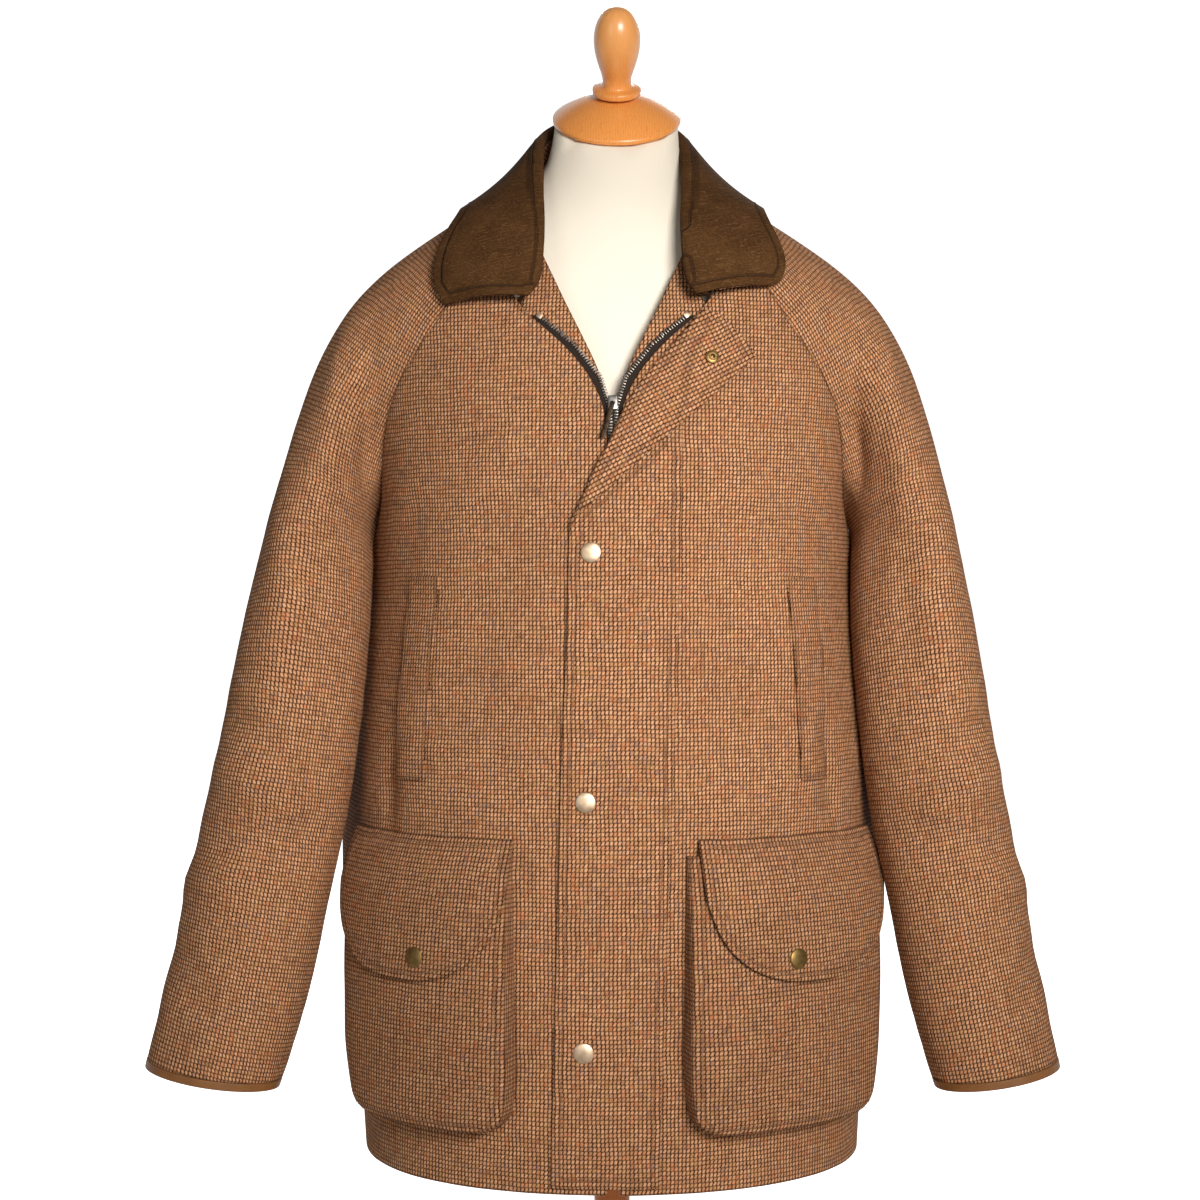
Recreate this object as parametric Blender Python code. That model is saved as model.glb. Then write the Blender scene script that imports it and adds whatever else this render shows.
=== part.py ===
"""A tweed field coat with raglan sleeves, worn by a limbless dress form on a short stand.

Metres, +Z up, the coat's front towards -Y and its left front towards +X. The origin is the
centre of the stand's foot. Every cloth panel is a thin closed wall: a grid of points worked out
from short tables of sections, and the same grid moved in by the cloth's thickness.
"""

import math

import bmesh
import bpy
import numpy as np
from mathutils import Matrix, Vector

# Driving dimensions
CLOTH = 0.0022
TRIM = 0.0015
SEAM = 0.0003
LAY = 0.0008
HEM_HEIGHT = 0.118
UNDERARM_HEIGHT = 0.640
NECK_FRONT_HEIGHT = 0.812
NECK_ROW_HEIGHT = 0.8533
NECK_SEAM_FRONT_HEIGHT = 0.873
NECK_SEAM_BACK_HEIGHT = 0.924
NECK_BACK_HEIGHT = 0.930
BODY_ROUNDNESS = 2.1
SNAP_RADIUS = 0.0076
POLE_RADIUS = 0.015
FOOT_RADIUS = 0.172
FOOT_HEIGHT = 0.022


def table(names, *rows):
    """Columns by name, from rows of numbers."""
    return dict(zip(names.split(), np.array(rows, float).T))


# The body's sections: half width at the sides, and depth in front of and behind the side seams
BODY = table(
    "height half_width front back",
    (0.118, 0.205, 0.152, 0.150),
    (0.200, 0.212, 0.156, 0.149),
    (0.300, 0.219, 0.158, 0.146),
    (0.400, 0.2225, 0.157, 0.143),
    (0.490, 0.2145, 0.154, 0.145),
    (0.570, 0.2030, 0.151, 0.149),
    (0.640, 0.191, 0.146, 0.153),
    (0.700, 0.195, 0.138, 0.153),
    (0.760, 0.200, 0.124, 0.147),
    (0.810, 0.198, 0.107, 0.138),
    (0.845, 0.182, 0.092, 0.128),
    (0.875, 0.142, 0.077, 0.115),
    (0.900, 0.101, 0.066, 0.103),
    (0.925, 0.076, 0.058, 0.092),
    (0.945, 0.068, 0.054, 0.084),
)
# The front edge: straight up, then open in a V along the zip, then the neck
FRONT_EDGE = table(
    "height x",
    (0.118, 0.0046),
    (0.690, 0.0046),
    (0.718, 0.0062),
    (0.742, 0.0168),
    (0.771, 0.0400),
    (0.790, 0.0630),
    (0.800, 0.0760),
    (0.8533, 0.0891),
)
# How far behind the middle the body is widest: behind the sleeves below the underarm
BODY_SIDE = table(
    "height y",
    (0.118, 0.020),
    (0.200, 0.030),
    (0.300, 0.045),
    (0.400, 0.050),
    (0.570, 0.050),
    (0.640, 0.000),
    (0.945, 0.000),
)
# The raglan seams, from the underarm up to the neck
FRONT_RAGLAN = table(
    "height x",
    (0.640, 0.1910),
    (0.672, 0.1880),
    (0.714, 0.1830),
    (0.741, 0.1735),
    (0.768, 0.1556),
    (0.798, 0.1340),
    (0.840, 0.1105),
    (0.873, 0.0940),
)
BACK_RAGLAN = table(
    "height x",
    (0.640, 0.1910),
    (0.680, 0.1870),
    (0.725, 0.1740),
    (0.780, 0.1450),
    (0.840, 0.1100),
    (0.885, 0.0800),
    (0.924, 0.0560),
)
# The sleeve's rings below the shoulder: centre, half width with its rise, and half depth
SLEEVE = table(
    "station x y z half_x half_z depth",
    (0, 0.2320, -0.008, 0.656, 0.0325, 0.0440, 0.066),
    (1, 0.2395, -0.016, 0.610, 0.0410, 0.0260, 0.064),
    (2, 0.2460, -0.030, 0.560, 0.0478, 0.0130, 0.061),
    (3, 0.2540, -0.043, 0.4885, 0.0507, 0.0100, 0.056),
    (4, 0.2676, -0.048, 0.3988, 0.0536, 0.0110, 0.052),
    (5, 0.2918, -0.055, 0.2758, 0.0552, 0.0110, 0.049),
    (6, 0.3120, -0.060, 0.1960, 0.0520, 0.0090, 0.047),
)
# How each sleeve differs from the table at the cuff: its share of the width, and how far it swings out
SLEEVE_SIDE = {"left": (0.965, -0.0055), "right": (1.035, 0.0065)}
# Soft folds: the middle of each, its depth (below 0 it is a trough), and how far it reaches both ways.
# On the sleeves v is 0 at the raglan seam, 1 at the upper arm and 2 at the cuff, and the angle is 0 at the
# outside of the arm and 90 at its front.
LEFT_SLEEVE_FOLDS = table(
    "v angle depth reach breadth slant",
    (0.86, 112, -0.0060, 0.30, 20, 20),
    (1.18, 55, 0.0035, 0.30, 22, -10),
    (1.44, 110, -0.0050, 0.13, 34, 60),
    (1.58, 65, 0.0040, 0.14, 36, 60),
    (1.40, -100, -0.0045, 0.14, 34, -50),
    (1.62, -80, 0.0040, 0.20, 30, -40),
)
RIGHT_SLEEVE_FOLDS = table(
    "v angle depth reach breadth slant",
    (0.84, 108, -0.0065, 0.30, 20, 20),
    (1.26, 60, 0.0030, 0.26, 24, -15),
    (1.50, 115, -0.0050, 0.14, 34, 55),
    (1.66, 70, 0.0040, 0.14, 34, 50),
    (1.46, -95, -0.0045, 0.15, 34, -55),
    (1.68, -75, 0.0035, 0.18, 30, -40),
)
SLEEVE_FOLDS = {"left": LEFT_SLEEVE_FOLDS, "right": RIGHT_SLEEVE_FOLDS}
BACK_FOLDS = table(
    "height turn depth reach breadth slant",
    (0.270, 148, 0.0060, 0.16, 13, 40),
    (0.230, 170, -0.0050, 0.15, 12, -20),
    (0.280, 203, 0.0065, 0.17, 14, -45),
    (0.470, 135, -0.0045, 0.07, 16, 160),
    (0.460, 222, -0.0045, 0.07, 16, -150),
)


def table_slopes(xs, ys):
    """Slopes at a table's rows that keep the curve from passing its own values."""
    steps = np.diff(xs)
    rises = np.diff(ys) / steps
    before, after = rises[:-1], rises[1:]
    same = before * after > 0
    blend = 3 * (steps[:-1] + steps[1:])
    share_before = (2 * steps[1:] + steps[:-1]) / np.where(same, before, 1)
    share_after = (steps[1:] + 2 * steps[:-1]) / np.where(same, after, 1)
    middle = np.where(same, blend / np.where(same, share_before + share_after, 1), 0)
    return np.concatenate([rises[:1], middle, rises[-1:]])


def smooth(at, xs, ys):
    """A cubic curve through a table's rows, read at the given places."""
    at = np.asarray(at, float)
    slopes = table_slopes(xs, ys)
    k = np.clip(np.searchsorted(xs, at) - 1, 0, len(xs) - 2)
    step = xs[k + 1] - xs[k]
    s = np.clip((at - xs[k]) / step, 0, 1)
    rise = ys[k + 1] - ys[k]
    bend = s * (1 - s) * ((1 - s) * (slopes[k] * step - rise) - s * (slopes[k + 1] * step - rise))
    return ys[k] + s * rise + bend


def read(rows, key, at, name):
    return smooth(at, rows[key], rows[name])


def ease(at, low, high):
    """0 below low, 1 above high, smooth between."""
    s = np.clip((np.asarray(at, float) - low) / (high - low), 0, 1)
    return s * s * (3 - 2 * s)


def mix(a, b, share):
    return a + (b - a) * share


def unit(vectors):
    return vectors / np.linalg.norm(vectors, axis=-1, keepdims=True)


def signed_power(value, power):
    return np.sign(value) * np.abs(value) ** power


def body(turn, height):
    """A point of the body's outer face. Turn is 0 at the centre front, a quarter turn at the left side."""
    power = 2 / BODY_ROUNDNESS
    width = read(BODY, "height", height, "half_width")
    front = read(BODY, "height", height, "front")
    back = read(BODY, "height", height, "back")
    side = read(BODY_SIDE, "height", height, "y")
    forward = signed_power(np.cos(turn), power)
    depth = np.where(forward > 0, front + side, back - side)
    x = width * signed_power(np.sin(turn), power)
    return np.stack(np.broadcast_arrays(x, side - depth * forward, height), axis=-1)


def body_normal(turn, height):
    nudge = 1e-4
    along = body(turn + nudge, height) - body(turn - nudge, height)
    up = body(turn, height + nudge) - body(turn, height - nudge)
    return unit(np.cross(along, up))


def turn_at(x, height):
    """The turn at which the body's front has this x."""
    width = read(BODY, "height", height, "half_width")
    share = np.clip(np.asarray(x) / width, -1, 1)
    return np.arcsin(signed_power(share, BODY_ROUNDNESS / 2))


def on_front(x, height, lift):
    """A point of the front at this x and height, lifted off its outer face."""
    turn = turn_at(x, height)
    return body(turn, height) + body_normal(turn, height) * np.asarray(lift)[..., None]


def folded(folds, along, across):
    """How far soft folds lift the cloth at a place along and across it."""
    lift = np.zeros(np.broadcast(along, across).shape)
    for middle, turn, depth, reach, breadth, slant in zip(*folds.values()):
        length = (along - middle) / reach
        width = (across - turn - slant * (along - middle)) / breadth
        lift = lift + depth * np.exp(-(length**2) - width**2)
    return lift


def clear_scene():
    for thing in list(bpy.data.objects):
        bpy.data.objects.remove(thing)


def collection(name):
    made = bpy.data.collections.new(name)
    bpy.context.scene.collection.children.link(made)
    return made


def finish(name, colour, roughness, metallic=0.0):
    material = bpy.data.materials.new(name)
    material.use_nodes = True
    shader = material.node_tree.nodes["Principled BSDF"]
    shader.inputs["Base Color"].default_value = (*colour, 1)
    shader.inputs["Roughness"].default_value = roughness
    shader.inputs["Metallic"].default_value = metallic
    return material


def add_mesh(name, bm, material):
    bmesh.ops.recalc_face_normals(bm, faces=bm.faces)
    if bm.calc_volume(signed=True) < 0:
        bmesh.ops.reverse_faces(bm, faces=bm.faces)
    mesh = bpy.data.meshes.new(name)
    bm.to_mesh(mesh)
    bm.free()
    mesh.materials.append(material)
    mesh.shade_smooth()
    mesh.set_sharp_from_angle(angle=math.radians(40))
    made = bpy.data.objects.new(name, mesh)
    PIECES.objects.link(made)
    return made


def grid_normals(points):
    """Normals of a grid of points, from its own neighbours."""
    return unit(np.cross(np.gradient(points, axis=0), np.gradient(points, axis=1)))


def draw_in(points, sides, gap=SEAM / 2):
    """Moves the named edges of a grid in by half a seam."""
    points = points.copy()
    ends = {"left": (0, 1, 0), "right": (-1, -2, 0), "bottom": (0, 1, 1), "top": (-1, -2, 1)}
    for side in sides.split():
        edge, inside, axis = ends[side]
        rows = np.moveaxis(points, axis, 0)
        rows[edge] += unit(rows[inside] - rows[edge]) * gap
    return points


def cloth_wall(name, outer, inner, material):
    """A closed wall between two grids of points with the same rows and columns."""
    columns, rows = outer.shape[0] - 1, outer.shape[1] - 1
    bm = bmesh.new()
    bmesh.ops.create_grid(bm, x_segments=columns, y_segments=rows, size=1)
    extruded = bmesh.ops.extrude_face_region(bm, geom=bm.faces[:], use_keep_orig=True)["geom"]
    moved = {item for item in extruded if isinstance(item, bmesh.types.BMVert)}
    for vertex in bm.verts:
        i = round((vertex.co.x + 1) / 2 * columns)
        j = round((vertex.co.y + 1) / 2 * rows)
        vertex.co = (inner if vertex in moved else outer)[i, j]
    return add_mesh(name, bm, material)


def mirrored(points):
    return points * np.array((-1, 1, 1))


def on_side(side, points):
    """Points worked out on the left, put on the named side."""
    return points if side == "left" else mirrored(points)


def span(first, last, count):
    return np.linspace(first, last, count + 1)


# Body panels: columns run from the front edge to the side, rows from the hem to the neck

LOW_ROWS = 10
HIGH_ROWS = 8
FRONT_COLUMNS = 12
BACK_COLUMNS = 18


def panel_rows(v):
    """Splits v, 0 to 2, into the share of the way below and above the underarm."""
    return np.clip(v, 0, 1), np.clip(v - 1, 0, 1)


def front_places(u, v):
    """Turn and height on a front panel: u from its front edge to its side, v from the hem to the neck."""
    low, high = panel_rows(v)
    base = mix(HEM_HEIGHT, UNDERARM_HEIGHT, low)
    edge_height = base + high * (NECK_ROW_HEIGHT - UNDERARM_HEIGHT)
    side_height = base + high * (NECK_SEAM_FRONT_HEIGHT - UNDERARM_HEIGHT)
    edge_x = read(FRONT_EDGE, "height", edge_height, "x")
    seam_x = read(FRONT_RAGLAN, "height", side_height, "x")
    height = mix(edge_height, side_height, u)
    side_turn = np.where(high > 0, turn_at(seam_x, side_height), math.pi / 2)
    by_turn = mix(turn_at(edge_x, edge_height), side_turn, u)
    by_width = turn_at(mix(edge_x, seam_x, u), height)
    return mix(by_turn, by_width, high), height


def back_places(u, v):
    """Turn and height on the back: u from -1 at its right side to 1 at its left."""
    low, high = panel_rows(v)
    base = mix(HEM_HEIGHT, UNDERARM_HEIGHT, low)
    centre_height = base + high * (NECK_BACK_HEIGHT - UNDERARM_HEIGHT)
    side_height = base + high * (NECK_SEAM_BACK_HEIGHT - UNDERARM_HEIGHT)
    seam_turn = turn_at(read(BACK_RAGLAN, "height", side_height, "x"), side_height)
    half = np.where(high > 0, seam_turn, math.pi / 2)
    return math.pi - half * u, mix(centre_height, side_height, np.abs(u))


def body_panel(name, turn, height, sides, material, side="left"):
    normals = body_normal(turn, height)
    away_from_sides = ease(np.degrees(turn), 95, 120) * ease(-np.degrees(turn), -265, -240)
    lift = folded(BACK_FOLDS, height, np.degrees(turn)) * away_from_sides
    outer = draw_in(body(turn, height), sides) + normals * lift[..., None]
    inner = outer - normals * CLOTH
    return cloth_wall(name, on_side(side, outer), on_side(side, inner), material)


def row_places():
    return np.concatenate([span(0, 1, LOW_ROWS), 1 + span(0, 1, HIGH_ROWS)[1:]])


def make_body(material):
    u, v = np.meshgrid(span(0, 1, FRONT_COLUMNS), row_places(), indexing="ij")
    for side in SLEEVE_SIDE:
        body_panel(f"front_{side}", *front_places(u, v), "right top", material, side)
    u, v = np.meshgrid(span(-1, 1, BACK_COLUMNS), row_places(), indexing="ij")
    body_panel("back", *back_places(u, v), "left right top", material)


# Sleeves: columns run along the raglan seam from the neck to the underarm, rows from it to the cuff

CAP_ROWS = 7
ARM_ROWS = 9
NECK_COLUMNS = 4
SLEEVE_COLUMNS = NECK_COLUMNS + HIGH_ROWS
RAGLANS = {"front": (FRONT_RAGLAN, NECK_SEAM_FRONT_HEIGHT), "back": (BACK_RAGLAN, NECK_SEAM_BACK_HEIGHT)}
UNDERARM_LEAVE = np.array((0.62, 0.0, -0.78))
SHOULDER_NECK_TURN = math.radians(95)
SHOULDER_NECK_HEIGHT = 0.9115


def raglan_places(half, count):
    """Turn and height along the sleeve's upper edge: the neck, then the raglan seam to the underarm."""
    seam, top = RAGLANS[half]
    share = np.asarray(count, float)
    height = np.where(
        share < NECK_COLUMNS,
        mix(SHOULDER_NECK_HEIGHT, top, share / NECK_COLUMNS),
        mix(top, UNDERARM_HEIGHT, (share - NECK_COLUMNS) / HIGH_ROWS),
    )
    turn = turn_at(read(seam, "height", height, "x"), height)
    corner = turn_at(seam["x"][-1], top)
    if half == "back":
        turn, corner = math.pi - turn, math.pi - corner
    turn = np.where(share < NECK_COLUMNS, mix(SHOULDER_NECK_TURN, corner, share / NECK_COLUMNS), turn)
    turn = np.where(share >= NECK_COLUMNS + HIGH_ROWS, math.pi / 2, turn)
    return turn, height


def arm_ring(side, angle, station):
    """A point of the sleeve below the shoulder. Angle is 0 outside the arm, a quarter turn at its front."""
    share = np.clip(np.asarray(station, float) / SLEEVE["station"][-1], 0, 1)
    width, swing = SLEEVE_SIDE[side]
    x, y, z, half_x, half_z, depth = (
        read(SLEEVE, "station", station, name) for name in ("x", "y", "z", "half_x", "half_z", "depth")
    )
    half_x = half_x * mix(1, width, share)
    return np.stack(
        [
            x + swing * share + half_x * np.cos(angle),
            y - depth * np.sin(angle),
            z + half_z * np.cos(angle),
        ],
        axis=-1,
    )


def sleeve_share(half, count):
    """How far along its upper edge a count of columns reaches: 0 at the neck and 1 at the underarm."""
    fine = np.linspace(0, SLEEVE_COLUMNS, 400)
    path = body(*raglan_places(half, fine))
    length = np.concatenate([[0], np.cumsum(np.linalg.norm(np.diff(path, axis=0), axis=1))])
    return np.interp(count, fine, length / length[-1])


def sleeve_points(side, half, count, v):
    """A point of a sleeve half: count along its upper edge, v from that edge, 0, to the cuff, 2."""
    sign = 1 if half == "front" else -1
    share = sleeve_share(half, count)
    angle = sign * math.pi * share
    turn, height = raglan_places(half, count)
    start = body(turn, height)
    slope = unit(body(turn, height - 0.030) - start)
    around = unit(body(turn + 0.05, height) - body(turn - 0.05, height)) * sign
    leave = unit(mix(slope, around, ease(share, 0.10, 0.50)[..., None]))
    leave = unit(mix(leave, UNDERARM_LEAVE, sleeve_hang(share)[..., None]))
    end = arm_ring(side, angle, np.zeros(np.shape(count)))
    down = unit(arm_ring(side, angle, np.full(np.shape(count), 0.2)) - end)
    reach = np.linalg.norm(end - start, axis=-1)
    pull = (reach * mix(1.50, 0.90, ease(share, 0.0, 0.55)))[..., None]
    s = np.clip(v, 0, 1)[..., None]
    cap = (
        start * (2 * s**3 - 3 * s**2 + 1)
        + leave * pull * (s**3 - 2 * s**2 + s)
        + end * (3 * s**2 - 2 * s**3)
        + down * pull * (s**3 - s**2)
    )
    arm = arm_ring(side, angle, np.clip(v - 1, 0, 1) * SLEEVE["station"][-1])
    return np.where((v < 1)[..., None], cap, arm)


def sleeve_hang(share):
    """How far the sleeve leaves its seam hanging down from the underarm, not running on from the body."""
    return ease(share, 0.50, 1.0)


def sleeve_halves(side):
    """Outer points and normals of a sleeve's two halves, built on the left, with shared normals."""
    rows = np.concatenate([span(0, 1, CAP_ROWS), 1 + span(0, 1, ARM_ROWS)[1:]])
    count, v = np.meshgrid(span(0, SLEEVE_COLUMNS, SLEEVE_COLUMNS), rows, indexing="ij")
    points = {half: sleeve_points(side, half, count, v) for half in ("front", "back")}
    ring = np.concatenate([points["front"][::-1], points["back"][1:-1]])
    around = np.roll(ring, -1, axis=0) - np.roll(ring, 1, axis=0)
    normals = unit(np.cross(np.gradient(ring, axis=1), around))
    normals = {
        "front": normals[: SLEEVE_COLUMNS + 1][::-1].copy(),
        "back": np.concatenate([normals[SLEEVE_COLUMNS:], normals[:1]]),
    }
    for half, sign in (("front", 1), ("back", -1)):
        share = sleeve_share(half, count)
        seam = body_normal(*raglan_places(half, count[:, 0]))
        hang = sleeve_hang(share[:, :1])
        normals[half][:, 0] = unit(mix(seam, normals[half][:, 0], hang))
        angle = sign * 180 * share
        lift = folded(SLEEVE_FOLDS[side], v, angle) + folded(SLEEVE_FOLDS[side], v, angle - sign * 360)
        lift = lift * ease(v, 0.15, 0.75) * ease(-v, -2, -1.85)
        points[half] = points[half] + normals[half] * lift[..., None]
    return points, normals


def make_sleeves(material):
    for side in SLEEVE_SIDE:
        points, normals = sleeve_halves(side)
        for half in points:
            outer = draw_in(points[half], "left right bottom")
            inner = outer - normals[half] * CLOTH
            cloth_wall(f"sleeve_{side}_{half}", on_side(side, outer), on_side(side, inner), material)


# Collar: stations run from the centre back, 0, to the front end, 1

COLLAR_STATIONS = 17
STAND_ROWS = 2
FOLD_ROWS = 4
FALL_ROWS = 5
COLLAR_TUCK = 0.006
COLLAR_ROLL = 0.0058
COLLAR_CLOTH = 0.0018
COLLAR_CREST = 0.45
ROLL_START = 0.25
STAND_GAP = 0.0009
COLLAR_DROP = {"left": -0.0140, "right": 0.0010}
STAND_FRONT_X = 0.0775
UNDERCOLLAR_SHOW = 0.0012
NECKLINE = table(
    "station turn height",
    (0.00, 180.0, NECK_BACK_HEIGHT),
    (0.21, 133.1, NECK_SEAM_BACK_HEIGHT),
    (0.45, 95.0, SHOULDER_NECK_HEIGHT),
    (0.70, 39.5, NECK_SEAM_FRONT_HEIGHT),
)
COLLAR_FOLD = table(
    "station x y z",
    (0.00, 0.0000, 0.079, 0.982),
    (0.21, 0.0430, 0.064, 0.977),
    (0.43, 0.0580, 0.012, 0.943),
    (0.62, 0.0590, -0.046, 0.895),
    (0.80, 0.0570, -0.084, 0.852),
    (0.92, 0.0570, -0.104, 0.822),
    (1.00, 0.0650, -0.1120, 0.8070),
)
COLLAR_EDGE = table(
    "station turn height lift bulge",
    (0.00, 180.0, 0.888, 0.0060, 0.003),
    (0.21, 150.0, 0.881, 0.0080, 0.003),
    (0.43, 98.0, 0.889, 0.0072, 0.003),
    (0.62, 67.0, 0.882, 0.0078, 0.006),
    (0.80, 48.5, 0.851, 0.0090, 0.010),
    (0.92, 44.5, 0.821, 0.0080, 0.011),
    (0.97, 42.5, 0.8080, 0.0070, 0.010),
    (1.00, 39.5, 0.8015, 0.0065, 0.009),
)


def neckline(station):
    """A point just inside the panels' rim at the neck seam."""
    seam_station = NECKLINE["station"][-1]
    front_share = np.clip((np.asarray(station) - seam_station) / (1 - seam_station), 0, 1)
    height = np.interp(station, NECKLINE["station"], NECKLINE["height"])
    height = mix(height, NECK_FRONT_HEIGHT, front_share)
    turn = np.radians(np.interp(station, NECKLINE["station"], NECKLINE["turn"]))
    front_turn = turn_at(mix(FRONT_RAGLAN["x"][-1], STAND_FRONT_X, front_share), height)
    turn = np.where(front_share > 0, front_turn, turn)
    return body(turn, height) - body_normal(turn, height) * (1.5 * CLOTH + 1.5 * LAY)


def collar_guides(station, side):
    """The base, the fold and the free edge of the collar at a station, and its bulge."""
    base = neckline(station)
    fold = np.stack([read(COLLAR_FOLD, "station", station, axis) for axis in "xyz"], axis=-1)
    turn = np.radians(read(COLLAR_EDGE, "station", station, "turn"))
    height = read(COLLAR_EDGE, "station", station, "height") - COLLAR_DROP[side] * ease(station, 0.60, 1)
    outward = body_normal(turn, height)
    edge = body(turn, height) + outward * read(COLLAR_EDGE, "station", station, "lift")[..., None]
    return base, fold, edge, outward * read(COLLAR_EDGE, "station", station, "bulge")[..., None]


def collar_rise(base, fold):
    """The way up the stand, and how far the collar tucks down inside it."""
    height = np.linalg.norm(fold - base, axis=-1, keepdims=True)
    return (fold - base) / height, np.minimum(COLLAR_TUCK, 0.35 * height)


def bend(first, middle, last, share):
    """A point of the curve that leaves first towards middle and comes into last from it."""
    share = np.asarray(share)[..., None]
    return first * (1 - share) ** 2 + middle * 2 * share * (1 - share) + last * share**2


def collar_points(station, w, side):
    """A point of the collar's visible face: w from 0 inside the neck, over the fold, to 2 at its edge."""
    base, fold, edge, bulge = collar_guides(station, side)
    rise, tuck = collar_rise(base, fold)
    crest = mix(fold, edge, COLLAR_CREST) + 2 * bulge
    away = unit(crest - fold)
    level = np.sum(away * rise, axis=-1, keepdims=True)
    out = unit(away - rise * level)
    whole = np.arccos(np.clip(level, -1, 1))
    inside = fold - rise * tuck * (1 - np.clip(w / ROLL_START, 0, 1))[..., None]

    def rolled(share):
        swept = whole * share
        return fold + COLLAR_ROLL * (out * (1 - np.cos(swept)) + rise * np.sin(swept))

    roll = rolled(np.clip((w - ROLL_START) / (1 - ROLL_START), 0, 1)[..., None])
    leaf = bend(rolled(1.0), crest, edge, np.clip(w - 1, 0, 1))
    return np.where((w < ROLL_START)[..., None], inside, np.where((w < 1)[..., None], roll, leaf))


def both_sides(left, right):
    """A grid from the right front end round the back to the left one, from two halves made on the left."""
    return np.concatenate([mirrored(right[::-1]), left[1:]])


def make_collar(napped, tweed):
    stations = span(0, 1, COLLAR_STATIONS)
    w = np.concatenate([span(0, 1, FOLD_ROWS), 1 + span(0, 1, FALL_ROWS)[1:]])
    places = np.meshgrid(stations, w, indexing="ij")
    face = both_sides(collar_points(*places, "left"), collar_points(*places, "right"))
    normals = grid_normals(face)
    cloth_wall("collar", face, face - normals * COLLAR_CLOTH, napped)
    leaf = slice(FOLD_ROWS + 1, None)
    top = face[:, leaf] - normals[:, leaf] * (COLLAR_CLOTH + SEAM)
    top[:, -1] += unit(top[:, -1] - top[:, -2]) * UNDERCOLLAR_SHOW
    cloth_wall("undercollar", top, top - normals[:, leaf] * TRIM, tweed)
    base, fold = collar_guides(stations, "left")[:2]
    rise, tuck = collar_rise(base, fold)
    share = span(0, 1, STAND_ROWS)[None, :, None]
    half = mix(base[:, None], (fold - rise * (tuck + STAND_GAP))[:, None], share)
    stand = both_sides(half, half)
    normals = grid_normals(stand)
    cloth_wall("collar_stand", stand + normals * CLOTH / 2, stand - normals * CLOTH / 2, tweed)


# Front opening: facings, zip and storm flap, laid in or on the fronts

FACING = table(
    "height inner outer sink",
    (0.600, 0.0040, 0.0300, 0),
    (0.700, 0.0040, 0.0300, 0),
    (0.727, 0.0045, 0.0320, 0),
    (0.760, 0.0160, 0.0480, 0),
    (0.785, 0.0280, 0.0660, 0),
    (0.805, 0.0375, 0.0740, 0.0013),
    (0.825, 0.0465, 0.0600, 0.0013),
    (0.846, 0.0560, 0.0600, 0.0013),
)
ZIP_TAPE = table(
    "height inner outer sink",
    (0.126, 0.0004, 0.0130, 0),
    (0.690, 0.0004, 0.0130, 0),
    (0.718, 0.0008, 0.0140, 0),
    (0.742, 0.0082, 0.0225, 0),
    (0.771, 0.0305, 0.0450, 0),
    (0.790, 0.0535, 0.0680, 0),
    (0.793, 0.0570, 0.0710, 0),
)
ZIP_DEPTH = CLOTH + 0.0005
TAPE = 0.0010
FACING_DEPTH = ZIP_DEPTH + TAPE + LAY


def strip(rows, columns, count, depth, thickness):
    """A ribbon between a table's inner and outer x, under the front's outer face by a depth and its sink."""
    heights = span(rows["height"][0], rows["height"][-1], count)
    share, height = np.meshgrid(span(0, 1, columns), heights, indexing="ij")
    x = mix(read(rows, "height", height, "inner"), read(rows, "height", height, "outer"), share)
    below = depth + read(rows, "height", height, "sink")
    return on_front(x, height, -below), on_front(x, height, -below - thickness)


def make_opening(tweed, dark):
    for kind, rows, count, depth, thickness, material in (
        ("facing", FACING, 12, FACING_DEPTH, TRIM, tweed),
        ("zip_tape", ZIP_TAPE, 24, ZIP_DEPTH, TAPE, dark),
    ):
        outer, inner = strip(rows, 2, count, depth, thickness)
        for side in SLEEVE_SIDE:
            cloth_wall(f"{kind}_{side}", on_side(side, outer), on_side(side, inner), material)


# The storm flap: where it is sewn, its turning line, its length past that line, and how far it turns there
STORM_FLAP = table(
    "height seam line past angle",
    (0.124, 0.0340, -0.0270, 0.0200, 0),
    (0.300, 0.0400, -0.0225, 0.0200, 0),
    (0.450, 0.0455, -0.0190, 0.0200, 0),
    (0.596, 0.0505, -0.0130, 0.0200, 0),
    (0.610, 0.0508, -0.0180, 0.0152, 0),
    (0.620, 0.0510, -0.0250, 0.0082, 0),
    (0.627, 0.0512, -0.0285, 0.0050, 60),
    (0.634, 0.0513, -0.0262, 0.0080, 150),
    (0.645, 0.0515, -0.0205, 0.0174, 180),
    (0.658, 0.0518, -0.0150, 0.0260, 180),
    (0.672, 0.0520, -0.0091, 0.0352, 180),
    (0.690, 0.0525, -0.0003, 0.0461, 180),
    (0.715, 0.0530, 0.0113, 0.0620, 180),
    (0.742, 0.0540, 0.0290, 0.0735, 180),
    (0.758, 0.0585, 0.0425, 0.0765, 180),
    (0.772, 0.0660, 0.0530, 0.0560, 180),
    (0.788, 0.0790, 0.0670, 0.0260, 180),
    (0.792, 0.0825, 0.0705, 0.0180, 180),
)
STORM_BEND = 0.0032
STORM_FLAT_COLUMNS = 4
STORM_TURN_COLUMNS = 6
SOCKET_HEIGHT = 0.755
SOCKET_X = 0.0745
SOCKET_RADIUS = 0.0052


STORM_CURL = (0.610, 0.672)


def storm_rows():
    bottom, top = STORM_FLAP["height"][[0, -1]]
    curl, flat = STORM_CURL
    return np.concatenate([span(bottom, curl, 6), span(curl, flat, 8)[1:], span(flat, top, 7)[1:]])


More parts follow.
